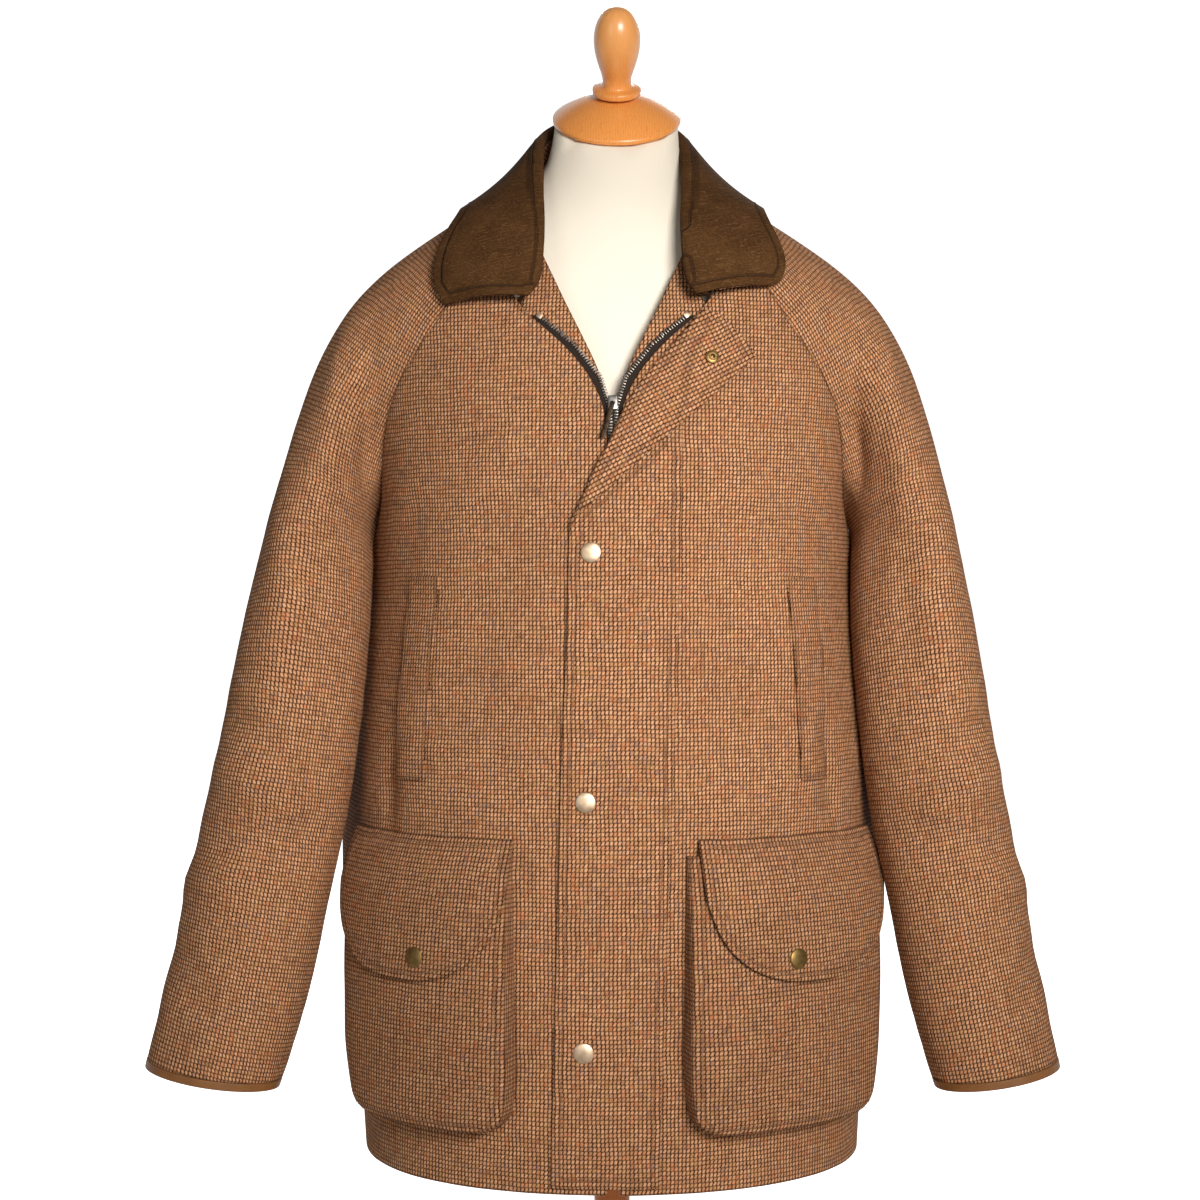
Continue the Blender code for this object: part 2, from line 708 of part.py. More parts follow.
def storm_points(along, height):
    """A point of the flap's middle: along from 0 at its seam by 1 at its fold to 2 at its free edge."""
    seam, line, past, angle = (
        read(STORM_FLAP, "height", height, name) for name in ("seam", "line", "past", "angle")
    )
    angle = np.radians(np.clip(angle, 0, 180))
    flat = mix(seam, line, np.clip(along, 0, 1))
    length = past * np.clip(along - 1, 0, 1)
    arc = STORM_BEND * angle
    swept = np.clip(length, 0, arc) / STORM_BEND
    rest = np.clip(length - arc, 0, None)
    x = flat - STORM_BEND * np.sin(swept) - rest * np.cos(angle)
    lift = LAY + CLOTH / 2 + STORM_BEND * (1 - np.cos(swept)) + rest * np.sin(angle)
    return on_front(x, height, lift)


def make_storm_flap(material):
    along = np.concatenate([span(0, 1, STORM_FLAT_COLUMNS), 1 + span(0, 1, STORM_TURN_COLUMNS)[1:] ** 1.5])
    middle = storm_points(*np.meshgrid(along, storm_rows(), indexing="ij"))
    normals = grid_normals(middle)
    cloth_wall("storm_flap", middle + normals * CLOTH / 2, middle - normals * CLOTH / 2, material)


# Pockets: a slanted welt above, a bellows bag below and its flap

WELT = table(
    "height inner outer sink",
    (0.430, 0.1445, 0.1700, 0),
    (0.510, 0.1395, 0.1655, 0),
    (0.589, 0.1345, 0.1590, 0),
)
POCKET_TOP = 0.376
POCKET_BOTTOM = 0.164
POCKET_CORNER = 0.030
POCKET_INNER = {"right": 0.0745, "left": 0.0540}
FLAP_INNER = {"right": 0.0750, "left": 0.0640}
POCKET_OUTER_TURN = math.radians(66.5)
POCKET_MIDDLE = (POCKET_TOP + POCKET_BOTTOM) / 2
POCKET_FACE_COLUMNS = 9
POCKET_FACE_ROWS = 7
GUSSET_HEIGHT = 0.016
FLAP_COLUMNS = 14
FLAP_ROWS = 6
FLAP_OVERHANG = 0.002
POCKET_BULGE = table(
    "height lift",
    (0.164, 0.0215),
    (0.200, 0.0225),
    (0.270, 0.0205),
    (0.330, 0.0150),
    (0.376, 0.0050),
)
# The bag's edge: how far in from its border, and the share of its bulge there
GUSSET = table(
    "inset share",
    (0.0000, 0.00),
    (0.0004, 0.50),
    (0.0022, 0.88),
    (0.0090, 1.00),
)
FLAP_TOP = 0.388
FLAP_LENGTH = 0.110
FLAP_LIFT = table(
    "drop lift",
    (0.000, 0.0008),
    (0.012, 0.0068),
    (0.030, 0.0125),
    (0.060, 0.0190),
    (0.112, 0.0236),
)


def body_length(turn, height):
    """The length round the front from its centre to a turn, to read turns from lengths."""
    fine = np.linspace(0, turn, 60)
    points = body(fine, np.full(60, height))
    length = np.concatenate([[0], np.cumsum(np.linalg.norm(np.diff(points, axis=0), axis=1))])
    return length, fine


def pocket_grid(side, inset, drop):
    """A grid over the bag's face. Inset moves its border in, and drop brings its face nearer the front."""
    length, turns = body_length(POCKET_OUTER_TURN, POCKET_MIDDLE)
    inner_edge = np.interp(turn_at(POCKET_INNER[side], POCKET_MIDDLE), turns, length)
    edge_in, edge_share = GUSSET["inset"], GUSSET["share"]
    face_share = span(0, 1, POCKET_FACE_COLUMNS)[1:-1]
    face_heights = span(POCKET_BOTTOM + GUSSET_HEIGHT, POCKET_TOP, POCKET_FACE_ROWS)
    heights = np.concatenate([POCKET_BOTTOM + edge_in, face_heights])
    rows = np.concatenate([edge_share, np.ones(len(face_heights))])
    points = []
    for height, row_share in zip(heights, rows):
        above = np.clip(POCKET_CORNER - (height - POCKET_BOTTOM), 0, POCKET_CORNER)
        corner = POCKET_CORNER - math.sqrt(POCKET_CORNER**2 - above**2)
        start = inner_edge + corner + inset
        end = length[-1] - corner - inset
        face = mix(start + edge_in[-1], end - edge_in[-1], face_share)
        places = np.concatenate([start + edge_in, face, end - edge_in[::-1]])
        share = np.concatenate([edge_share, np.ones(len(face_share)), edge_share[::-1]]) * row_share
        turn = np.interp(places, length, turns)
        tall = np.full(turn.shape, height + inset * (1 - row_share))
        lift = LAY + share * (read(POCKET_BULGE, "height", height, "lift") - drop)
        points.append(body(turn, tall) + body_normal(turn, tall) * lift[:, None])
    return np.stack(points, axis=1)


def flap_grid(side, extra):
    """A grid over the pocket flap, lifted by an extra distance."""
    length, turns = body_length(POCKET_OUTER_TURN, POCKET_TOP)
    start = np.interp(turn_at(FLAP_INNER[side], POCKET_TOP), turns, length)
    across = (1 - np.cos(math.pi * span(0, 1, FLAP_COLUMNS))) / 2
    fall = FLAP_LENGTH * np.clip(1 - np.abs(1 - 2 * across) ** 2.5, 0.002, 1) ** (1 / 3)
    share, down = np.meshgrid(across, span(0, 1, FLAP_ROWS), indexing="ij")
    turn = np.interp(mix(start, length[-1] + FLAP_OVERHANG, share), length, turns)
    drop = down * fall[:, None]
    height = FLAP_TOP - drop
    lift = read(FLAP_LIFT, "drop", drop, "lift") + extra
    return body(turn, height) + body_normal(turn, height) * lift[..., None]


def flap_place(side, share, drop):
    """A place just off the pocket flap's outer face, and the way out from it."""
    length, turns = body_length(POCKET_OUTER_TURN, POCKET_TOP)
    start = np.interp(turn_at(FLAP_INNER[side], POCKET_TOP), turns, length)
    turn = np.array(np.interp(mix(start, length[-1], share), length, turns))

    def at(turn, drop):
        height = np.array(FLAP_TOP - drop)
        lift = read(FLAP_LIFT, "drop", drop, "lift") + CLOTH
        return body(turn, height) + body_normal(turn, height) * lift

    nudge = 0.002
    around = at(turn + nudge, drop) - at(turn - nudge, drop)
    up = at(turn, drop - nudge) - at(turn, drop + nudge)
    out = unit(np.cross(around, up))
    return at(turn, drop) + out * SEAM, out


def make_pockets(material):
    for side in POCKET_INNER:
        pieces = {
            "pocket_bag": (pocket_grid(side, 0, 0), pocket_grid(side, CLOTH, CLOTH)),
            "pocket_flap": (flap_grid(side, CLOTH), flap_grid(side, 0)),
            "welt": strip(WELT, 2, 6, -LAY - TRIM, TRIM),
        }
        for name, (outer, inner) in pieces.items():
            cloth_wall(f"{name}_{side}", on_side(side, outer), on_side(side, inner), material)


# Cuff bindings

CUFF_BINDING = 0.0068
CUFF_SIDES = 24
# The binding's section: how far out from the sleeve's end and how far down
CUFF_SECTION = ((0.0006, SEAM), (0.0006, CUFF_BINDING), (-0.0028, CUFF_BINDING), (-0.0028, SEAM))


def ring_wall(name, points, material):
    """A closed ring from a grid whose columns run round it and whose rows run round its section."""
    columns, rows = points.shape[0], points.shape[1]
    bm = bmesh.new()
    bmesh.ops.create_grid(bm, x_segments=columns, y_segments=rows, size=1)
    for vertex in bm.verts:
        i = round((vertex.co.x + 1) / 2 * columns) % columns
        j = round((vertex.co.y + 1) / 2 * rows) % rows
        vertex.co = points[i, j]
    bmesh.ops.remove_doubles(bm, verts=bm.verts, dist=1e-6)
    return add_mesh(name, bm, material)


def make_cuffs(material):
    angle = np.arange(CUFF_SIDES) * 2 * math.pi / CUFF_SIDES
    last = SLEEVE["station"][-1]
    for side in SLEEVE_SIDE:
        end = arm_ring(side, angle, np.full(CUFF_SIDES, last))
        down = unit(end - arm_ring(side, angle, np.full(CUFF_SIDES, last - 0.2)))
        outward = unit(end - end.mean(axis=0))
        ring = np.stack([end + outward * out + down * drop for out, drop in CUFF_SECTION], axis=1)
        ring_wall(f"cuff_binding_{side}", on_side(side, ring), material)


# Snaps, zip slider and pull tab

SNAP_SIDES = 14
# Half sections, radius and rise, from the axis round to the axis
SNAP_CAP = ((0, 0.0024), (0.45, 0.0021), (0.85, 0.0011), (1.0, 0.0004), (0.94, 0.0), (0, 0.0))
SNAP_SOCKET = (
    (0, 0.0009),
    (0.40, 0.0009),
    (0.50, 0.0020),
    (0.80, 0.0018),
    (1.0, 0.0006),
    (0.95, 0.0),
    (0, 0.0),
)
FRONT_SNAP_HEIGHTS = (0.606, 0.417, 0.228)
FRONT_SNAP_X = (-0.0165, -0.0205, -0.0220)
POCKET_SNAP_SHARE = {"right": 0.414, "left": 0.387}
POCKET_SNAP_DROP = 0.091
SLIDER_HEIGHT = 0.721
SLIDER_SIZE = (0.0080, 0.0120, 0.0046)
PULL_SIZE = (0.0052, 0.0300, 0.0013)
PULL_LEAN = math.radians(16)
PULL_PIVOT = 0.0004
SLIDER_BEVEL = 0.0012
PULL_BEVEL = 0.0005


def turned(name, profile, sides, place, axis, material, radius=1.0):
    """A solid of revolution: a half section of radius and rise, spun about an axis at a place."""
    bm = bmesh.new()
    corners = [bm.verts.new((r * radius, 0, rise)) for r, rise in profile]
    edges = [bm.edges.new(pair) for pair in zip(corners, corners[1:])]
    bmesh.ops.spin(bm, geom=corners + edges, axis=(0, 0, 1), angle=2 * math.pi, steps=sides, use_merge=True)
    bmesh.ops.remove_doubles(bm, verts=bm.verts, dist=1e-6)
    tilt = Vector((0, 0, 1)).rotation_difference(Vector(axis)).to_matrix()
    bmesh.ops.rotate(bm, verts=bm.verts, matrix=tilt)
    bmesh.ops.translate(bm, verts=bm.verts, vec=Vector(place))
    return add_mesh(name, bm, material)


def make_snaps(brass, aged_brass):
    lift = np.array(LAY + CLOTH + SEAM)
    for number, (height, x) in enumerate(zip(FRONT_SNAP_HEIGHTS, FRONT_SNAP_X), 1):
        height = np.array(height)
        out = body_normal(turn_at(x, height), height)
        place = on_front(x, height, lift)
        turned(f"snap_front_{number}", SNAP_CAP, SNAP_SIDES, place, out, brass, SNAP_RADIUS)
    height = np.array(SOCKET_HEIGHT)
    out = body_normal(turn_at(SOCKET_X, height), height)
    top = np.array(LAY + CLOTH + 2 * STORM_BEND + SEAM)
    place = on_front(SOCKET_X, height, top)
    turned("snap_socket", SNAP_SOCKET, SNAP_SIDES, place, out, aged_brass, SOCKET_RADIUS)
    for side in POCKET_INNER:
        place, out = flap_place(side, POCKET_SNAP_SHARE[side], POCKET_SNAP_DROP)
        place, out = on_side(side, place), on_side(side, out)
        turned(f"snap_pocket_{side}", SNAP_CAP, SNAP_SIDES, place, out, aged_brass, SNAP_RADIUS)


def plate(name, size, frame, bevel, material):
    """A box of width, length and thickness with rounded edges, put into a frame."""
    bm = bmesh.new()
    bmesh.ops.create_cube(bm, size=1)
    bmesh.ops.scale(bm, verts=bm.verts, vec=size)
    bmesh.ops.bevel(bm, geom=bm.edges[:], offset=bevel, segments=2, profile=0.5, affect="EDGES")
    bmesh.ops.transform(bm, verts=bm.verts, matrix=frame)
    return add_mesh(name, bm, material)


def zip_frame(lean, slide, lift):
    """A frame on the zip at the slider: x to the left front, y up along the zip, z out, turned about z."""
    height = np.array(SLIDER_HEIGHT)
    out = Vector(body_normal(np.array(0.0), height))
    across = Vector((1, 0, 0))
    up = out.cross(across)
    base = Matrix((across, up, out)).transposed().to_4x4()
    base.translation = Vector(body(np.array(0.0), height)) + out * lift
    return base @ Matrix.Rotation(lean, 4, "Z") @ Matrix.Translation((0, slide, 0))


def make_zip_metal(material):
    slider_lift = -ZIP_DEPTH + LAY + SLIDER_SIZE[2] / 2
    plate("zip_slider", SLIDER_SIZE, zip_frame(0, 0, slider_lift), SLIDER_BEVEL, material)
    pull_lift = slider_lift + SLIDER_SIZE[2] / 2 + 2 * SEAM + PULL_SIZE[2] / 2
    pull = zip_frame(-PULL_LEAN, PULL_PIVOT - PULL_SIZE[1] / 2, pull_lift)
    plate("zip_pull", PULL_SIZE, pull, PULL_BEVEL, material)


# Dress form: rings of the torso and neck, then the turned wood

FORM = table(
    "height half_width front back centre slope lean",
    (0.205, 0.1480, 0.1050, 0.1050, 0.000, 0.00, 0.000),
    (0.215, 0.1580, 0.1130, 0.1130, 0.000, 0.00, 0.000),
    (0.300, 0.1680, 0.1190, 0.1220, 0.000, 0.00, 0.000),
    (0.420, 0.1580, 0.1130, 0.1120, 0.000, 0.00, 0.000),
    (0.520, 0.1560, 0.1150, 0.1140, 0.000, 0.00, 0.000),
    (0.620, 0.1680, 0.1240, 0.1400, 0.000, 0.00, 0.000),
    (0.700, 0.1740, 0.1190, 0.1501, 0.000, 0.00, 0.000),
    (0.760, 0.1720, 0.1040, 0.1430, 0.000, 0.00, 0.000),
    (0.810, 0.1700, 0.0890, 0.1340, 0.000, 0.00, 0.001),
    (0.845, 0.1600, 0.0770, 0.1220, 0.000, 0.00, 0.001),
    (0.875, 0.1230, 0.0640, 0.1040, 0.002, 0.00, 0.001),
    (0.900, 0.0770, 0.0570, 0.0810, 0.006, 0.08, 0.001),
    (0.925, 0.0575, 0.0530, 0.0590, 0.013, 0.25, 0.001),
    (0.948, 0.0520, 0.0490, 0.0490, 0.020, 0.45, 0.002),
    (0.972, 0.0522, 0.0441, 0.0441, 0.024, 0.67, 0.004),
)
FORM_SIDES = 24
FORM_RINGS = 20
NECK_CAP = (
    (0, 0.0240),
    (0.0160, 0.0228),
    (0.0340, 0.0170),
    (0.0480, 0.0090),
    (0.0545, 0.0035),
    (0.0540, 0.0),
    (0, 0.0),
)
FINIAL = (
    (0, 0.0745),
    (0.0100, 0.0715),
    (0.0170, 0.0625),
    (0.0203, 0.0490),
    (0.0185, 0.0330),
    (0.0135, 0.0190),
    (0.0115, 0.0125),
    (0.0130, 0.0070),
    (0.0205, 0.0055),
    (0.0205, 0.0010),
    (0.0190, 0.0000),
    (0, 0.0000),
)
WOOD_SIDES = 24


def form_ring(turn, height):
    half_width, front, back, centre, slope, lean = (
        read(FORM, "height", height, name)
        for name in ("half_width", "front", "back", "centre", "slope", "lean")
    )
    forward = np.cos(turn)
    y = -np.where(forward > 0, front, back) * forward
    return np.stack([lean + half_width * np.sin(turn), centre + y, height + slope * y], axis=-1)


def make_torso(material):
    turn = np.arange(FORM_SIDES) * 2 * math.pi / FORM_SIDES
    bottom, shoulder, top = FORM["height"][[0, 1, -1]]
    heights = np.concatenate([[bottom], span(shoulder, top, FORM_RINGS - 1)])
    rings = form_ring(*np.meshgrid(turn, heights, indexing="ij"))
    bm = bmesh.new()
    bmesh.ops.create_grid(bm, x_segments=FORM_SIDES, y_segments=FORM_RINGS, size=1)
    for vertex in bm.verts:
        i = round((vertex.co.x + 1) / 2 * FORM_SIDES) % FORM_SIDES
        j = round((vertex.co.y + 1) / 2 * FORM_RINGS)
        vertex.co = rings[i, j]
    bmesh.ops.remove_doubles(bm, verts=bm.verts, dist=1e-6)
    bmesh.ops.holes_fill(bm, edges=[edge for edge in bm.edges if edge.is_boundary], sides=0)
    return add_mesh("form_torso", bm, material)


def make_wood(material):
    slope = FORM["slope"][-1]
    axis = Vector((0, -slope, 1)).normalized()
    neck = Vector((FORM["lean"][-1], FORM["centre"][-1], FORM["height"][-1])) + axis * SEAM
    turned("neck_cap", NECK_CAP, WOOD_SIDES, neck, axis, material)
    turned("finial", FINIAL, WOOD_SIDES, neck + axis * (NECK_CAP[0][1] + SEAM), axis, material)
    pole_length = FORM["height"][0] - FOOT_HEIGHT - 2 * SEAM
    pole = ((0, 0), (POLE_RADIUS, 0), (POLE_RADIUS, pole_length), (0, pole_length))
    turned("pole", pole, WOOD_SIDES, (0, 0, FOOT_HEIGHT + SEAM), (0, 0, 1), material)
    foot = (
        (0, 0),
        (FOOT_RADIUS - 0.003, 0),
        (FOOT_RADIUS, 0.003),
        (FOOT_RADIUS, 0.010),
        (FOOT_RADIUS - 0.006, 0.017),
        (FOOT_RADIUS - 0.022, FOOT_HEIGHT),
        (0, FOOT_HEIGHT),
    )
    turned("foot", foot, 2 * WOOD_SIDES, (0, 0, 0), (0, 0, 1), material)


clear_scene()
PIECES = collection("field_coat_on_dress_form")
TWEED = finish("tweed", (0.30, 0.17, 0.085), 0.9)
NAPPED = finish("napped_cloth", (0.075, 0.045, 0.022), 0.95)
ZIP_CLOTH = finish("zip_tape", (0.02, 0.015, 0.012), 0.8)
LEATHER = finish("leather", (0.21, 0.10, 0.035), 0.6)
BRASS = finish("brass", (0.70, 0.55, 0.30), 0.35, 1.0)
AGED_BRASS = finish("aged_brass", (0.35, 0.25, 0.11), 0.45, 1.0)
ZIP_METAL = finish("zip_metal", (0.25, 0.22, 0.19), 0.4, 1.0)
CANVAS = finish("form_cloth", (0.90, 0.83, 0.72), 0.85)
WOOD = finish("wood", (0.72, 0.33, 0.10), 0.35)
make_body(TWEED)
make_sleeves(TWEED)
make_collar(NAPPED, TWEED)
make_opening(TWEED, ZIP_CLOTH)
make_storm_flap(TWEED)
make_pockets(TWEED)
make_cuffs(LEATHER)
make_snaps(BRASS, AGED_BRASS)
make_zip_metal(ZIP_METAL)
make_torso(CANVAS)
make_wood(WOOD)
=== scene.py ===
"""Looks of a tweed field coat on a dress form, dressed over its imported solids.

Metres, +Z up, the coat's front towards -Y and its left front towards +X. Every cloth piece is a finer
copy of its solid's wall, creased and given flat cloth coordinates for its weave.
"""

import math

import bmesh
import bpy
import numpy as np
from mathutils import Matrix, Vector, noise
from mathutils.bvhtree import BVHTree
from mathutils.kdtree import KDTree


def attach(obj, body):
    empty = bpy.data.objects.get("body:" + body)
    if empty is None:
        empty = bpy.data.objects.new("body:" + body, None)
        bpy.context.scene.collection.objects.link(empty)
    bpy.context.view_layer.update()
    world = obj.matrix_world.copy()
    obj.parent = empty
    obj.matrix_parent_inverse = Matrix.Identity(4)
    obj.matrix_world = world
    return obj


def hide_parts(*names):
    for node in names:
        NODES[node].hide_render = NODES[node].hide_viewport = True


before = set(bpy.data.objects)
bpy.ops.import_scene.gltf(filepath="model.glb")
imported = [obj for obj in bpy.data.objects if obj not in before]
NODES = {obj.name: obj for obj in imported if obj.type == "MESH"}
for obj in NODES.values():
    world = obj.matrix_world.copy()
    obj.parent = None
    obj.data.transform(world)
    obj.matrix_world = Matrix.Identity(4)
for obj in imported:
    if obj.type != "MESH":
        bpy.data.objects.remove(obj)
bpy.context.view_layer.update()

# The photograph's camera
PHOTO_SIZE = 1200
FOCAL_PIXELS = 2108
SENSOR = 36.0
AXIS_PIXEL = 612
CAMERA_DISTANCE = 1.75
CAMERA_HEIGHT = 0.57
EYE_X = (PHOTO_SIZE / 2 - AXIS_PIXEL) * CAMERA_DISTANCE / FOCAL_PIXELS
EYE = Vector((EYE_X, -CAMERA_DISTANCE, CAMERA_HEIGHT))


def make_camera():
    data = bpy.data.cameras.new("photo_camera")
    data.sensor_width = SENSOR
    data.lens = SENSOR * FOCAL_PIXELS / PHOTO_SIZE
    camera = bpy.data.objects.new("photo_camera", data)
    camera.location = EYE
    camera.rotation_euler = (math.pi / 2, 0, 0)
    bpy.context.scene.collection.objects.link(camera)
    bpy.context.scene.camera = camera
    bpy.context.scene.view_settings.view_transform = "Standard"


def table(names, *rows):
    """Columns by name, from rows of numbers."""
    return dict(zip(names.split(), np.array(rows, float).T))


# The body's sections, as in the part's source
BODY = table(
    "height half_width front back side",
    (0.118, 0.2050, 0.152, 0.150, 0.020),
    (0.200, 0.2120, 0.156, 0.149, 0.030),
    (0.300, 0.2190, 0.158, 0.146, 0.045),
    (0.400, 0.2225, 0.157, 0.143, 0.050),
    (0.490, 0.2145, 0.154, 0.145, 0.050),
    (0.570, 0.2030, 0.151, 0.149, 0.050),
    (0.640, 0.1910, 0.146, 0.153, 0),
    (0.700, 0.1950, 0.138, 0.153, 0),
    (0.760, 0.2000, 0.124, 0.147, 0),
    (0.810, 0.1980, 0.107, 0.138, 0),
    (0.845, 0.1820, 0.092, 0.128, 0),
    (0.875, 0.1420, 0.077, 0.115, 0),
    (0.900, 0.1010, 0.066, 0.103, 0),
    (0.925, 0.0760, 0.058, 0.092, 0),
    (0.945, 0.0680, 0.054, 0.084, 0),
)
BODY_ROUNDNESS = 2.1
# A line down the middle of the left sleeve, from inside the shoulder to the cuff
SLEEVE_LINE = table(
    "x y z",
    (0.060, 0.000, 0.860),
    (0.140, 0.000, 0.800),
    (0.200, -0.004, 0.720),
    (0.232, -0.008, 0.656),
    (0.246, -0.030, 0.560),
    (0.254, -0.043, 0.4885),
    (0.2676, -0.048, 0.3988),
    (0.2918, -0.055, 0.2758),
    (0.3120, -0.060, 0.196),
    (0.3190, -0.062, 0.168),
)
# The sleeve's mean radius at lengths down that line
SLEEVE_GIRTH = table(
    "along radius",
    (0.00, 0.098),
    (0.10, 0.092),
    (0.19, 0.078),
    (0.26, 0.064),
    (0.36, 0.0565),
    (0.52, 0.0545),
    (0.66, 0.0520),
    (0.75, 0.0485),
)
# Creases in flat cloth metres: both ends, depth (below 0 it is a trough) and width
BODY_CREASES = table(
    "u0 v0 u1 v1 depth width",
    (-0.190, 0.470, -0.205, 0.385, -0.0030, 0.012),
    (-0.150, 0.560, -0.175, 0.400, 0.0020, 0.028),
    (-0.085, 0.660, -0.110, 0.420, -0.0015, 0.030),
    (0.185, 0.480, 0.200, 0.390, -0.0030, 0.012),
    (0.150, 0.580, 0.170, 0.410, 0.0020, 0.026),
    (0.090, 0.640, 0.100, 0.430, -0.0015, 0.030),
    (-0.120, 0.700, -0.190, 0.610, -0.0022, 0.016),
    (0.120, 0.690, 0.190, 0.610, -0.0022, 0.016),
    (-0.060, 0.700, -0.130, 0.640, 0.0014, 0.020),
    (0.070, 0.690, 0.130, 0.640, 0.0014, 0.020),
    (0.330, 0.640, 0.400, 0.300, 0.0040, 0.030),
    (0.420, 0.520, 0.440, 0.180, -0.0035, 0.026),
    (0.500, 0.600, 0.490, 0.160, 0.0030, 0.030),
    (0.640, 0.640, 0.580, 0.280, 0.0040, 0.030),
    (0.560, 0.480, 0.545, 0.170, -0.0035, 0.026),
    (0.360, 0.700, 0.430, 0.640, -0.0025, 0.018),
    (0.620, 0.700, 0.560, 0.630, -0.0025, 0.018),
)
SLEEVE_CREASES = table(
    "u0 v0 u1 v1 depth width",
    (0.080, 0.110, 0.150, 0.250, -0.0045, 0.013),
    (0.050, 0.120, 0.110, 0.270, 0.0025, 0.014),
    (0.020, 0.440, 0.120, 0.500, -0.0030, 0.013),
    (0.010, 0.490, 0.130, 0.520, 0.0024, 0.014),
    (0.030, 0.560, 0.140, 0.530, -0.0028, 0.012),
    (-0.020, 0.600, 0.090, 0.570, 0.0022, 0.016),
    (0.060, 0.270, 0.075, 0.430, 0.0026, 0.018),
    (0.095, 0.290, 0.105, 0.420, -0.0024, 0.014),
    (-0.080, 0.430, -0.140, 0.480, -0.0030, 0.014),
    (-0.040, 0.500, -0.140, 0.520, 0.0026, 0.015),
    (-0.050, 0.580, -0.130, 0.550, -0.0026, 0.013),
    (-0.080, 0.120, -0.150, 0.240, -0.0040, 0.014),
    (-0.020, 0.300, -0.040, 0.420, -0.0016, 0.020),
    (0.000, 0.640, 0.070, 0.690, -0.0018, 0.014),
    (-0.090, 0.630, -0.020, 0.700, 0.0016, 0.016),
)


def ease(at, low, high):
    s = np.clip((np.asarray(at, float) - low) / (high - low), 0, 1)
    return s * s * (3 - 2 * s)


def unit(vectors):
    return vectors / np.linalg.norm(vectors, axis=-1, keepdims=True)


def signed_power(value, power):
    return np.sign(value) * np.abs(value) ** power


def body_size(height):
    """The body's half width, its reach forward and back from its sides, and the y of its sides."""
    width, front, back, side = (
        np.interp(height, BODY["height"], BODY[name]) for name in ("half_width", "front", "back", "side")
    )
    return width, front + side, back - side, side


def girth_to(turn, width, front, back):
    """The length round the body's section from the centre front to a turn."""
    power = BODY_ROUNDNESS / 2
    sweep = turn[:, None] * np.linspace(0, 1, 65)
    round_x = width[:, None] * signed_power(np.sin(sweep), 1 / power)
    forward = signed_power(np.cos(sweep), 1 / power)
    round_y = np.where(forward > 0, front[:, None], back[:, None]) * forward
    return np.hypot(np.diff(round_x), np.diff(round_y)).sum(axis=1)


def body_place(points, normals=None):
    """Flat cloth coordinates on the body, and the way out from it: u round from the centre front, v up."""
    x, y, z = points.T
    width, front, back, side = body_size(z)
    y = y - side
    depth = np.where(y < 0, front, back)
    power = BODY_ROUNDNESS / 2
    turn = np.arctan2(signed_power(x / width, power), signed_power(-y / depth, power))
    length = girth_to(turn, width, front, back)
    power = BODY_ROUNDNESS - 1
    out_x = signed_power(x / width, power) / width
    out_y = signed_power(y / depth, power) / depth
    out = np.stack([out_x, out_y, 0 * z], axis=1)
    return np.sign(turn) * length, z, unit(out)


def body_face(x, height):
    """The body's front face at an x and a height."""
    width, front, back, side = body_size(height)
    share = np.clip(np.abs(x) / width, 0, 1) ** BODY_ROUNDNESS
    return side - front * (1 - share) ** (1 / BODY_ROUNDNESS)


def pocket_place(points, normals):
    """As on the body, with the cloth of the side and bottom walls running on out from the face."""
    u, v, out = body_place(points)
    back = 0.03 - np.clip(body_face(points[:, 0], v) - points[:, 1], 0, 0.03)
    sideways = np.sign(normals[:, 0]) * ease(np.abs(normals[:, 0]), 0.55, 0.85)
    upright = np.sign(normals[:, 2]) * ease(np.abs(normals[:, 2]), 0.55, 0.85)
    return u + sideways * back, v + upright * back, out


def back_place(points, normals=None):
    """As on the body, with u running on round the back from the left side to the right."""
    u, v, out = body_place(points)
    width, front, back, side = body_size(v)
    whole = 2 * girth_to(np.full(len(u), np.pi), width, front, back)
    return np.where(u < 0, u + whole, u), v, out


def sleeve_place(side):
    """Flat cloth coordinates on a sleeve: u round from its outside towards the front, v down its length."""
    flip = np.array((1 if side == "left" else -1, 1, 1))
    marks = np.stack([SLEEVE_LINE[axis] for axis in "xyz"], axis=1)
    steps = np.linspace(0, len(marks) - 1, 240)
    line = np.stack([np.interp(steps, np.arange(len(marks)), marks[:, k]) for k in range(3)], axis=1)
    smooth = np.ones(25) / 25
    padded = np.pad(line, ((12, 12), (0, 0)), mode="edge")
    line = np.stack([np.convolve(padded[:, k], smooth, mode="valid") for k in range(3)], axis=1)
    along = np.concatenate([[0], np.cumsum(np.linalg.norm(np.diff(line, axis=0), axis=1))])
    tangent = unit(np.gradient(line, axis=0))

    def place(points, normals=None):
        points = points * flip
        nearest = np.empty(len(points), int)
        for start in range(0, len(points), 4000):
            part = points[start : start + 4000]
            nearest[start : start + 4000] = ((part[:, None] - line[None]) ** 2).sum(axis=2).argmin(axis=1)
        axis = tangent[nearest]
        arm = points - line[nearest]
        forward = (arm * axis).sum(axis=1)
        arm = arm - axis * forward[:, None]
        radius = np.linalg.norm(arm, axis=1)
        up = unit(np.stack([-axis[:, 2], 0 * radius, axis[:, 0]], axis=1))
        angle = np.arctan2(-arm[:, 1], (arm * up).sum(axis=1))
        length = along[nearest] + forward
        girth = np.interp(length, SLEEVE_GIRTH["along"], SLEEVE_GIRTH["radius"])
        return angle * girth, length, arm / radius[:, None] * flip

    return place


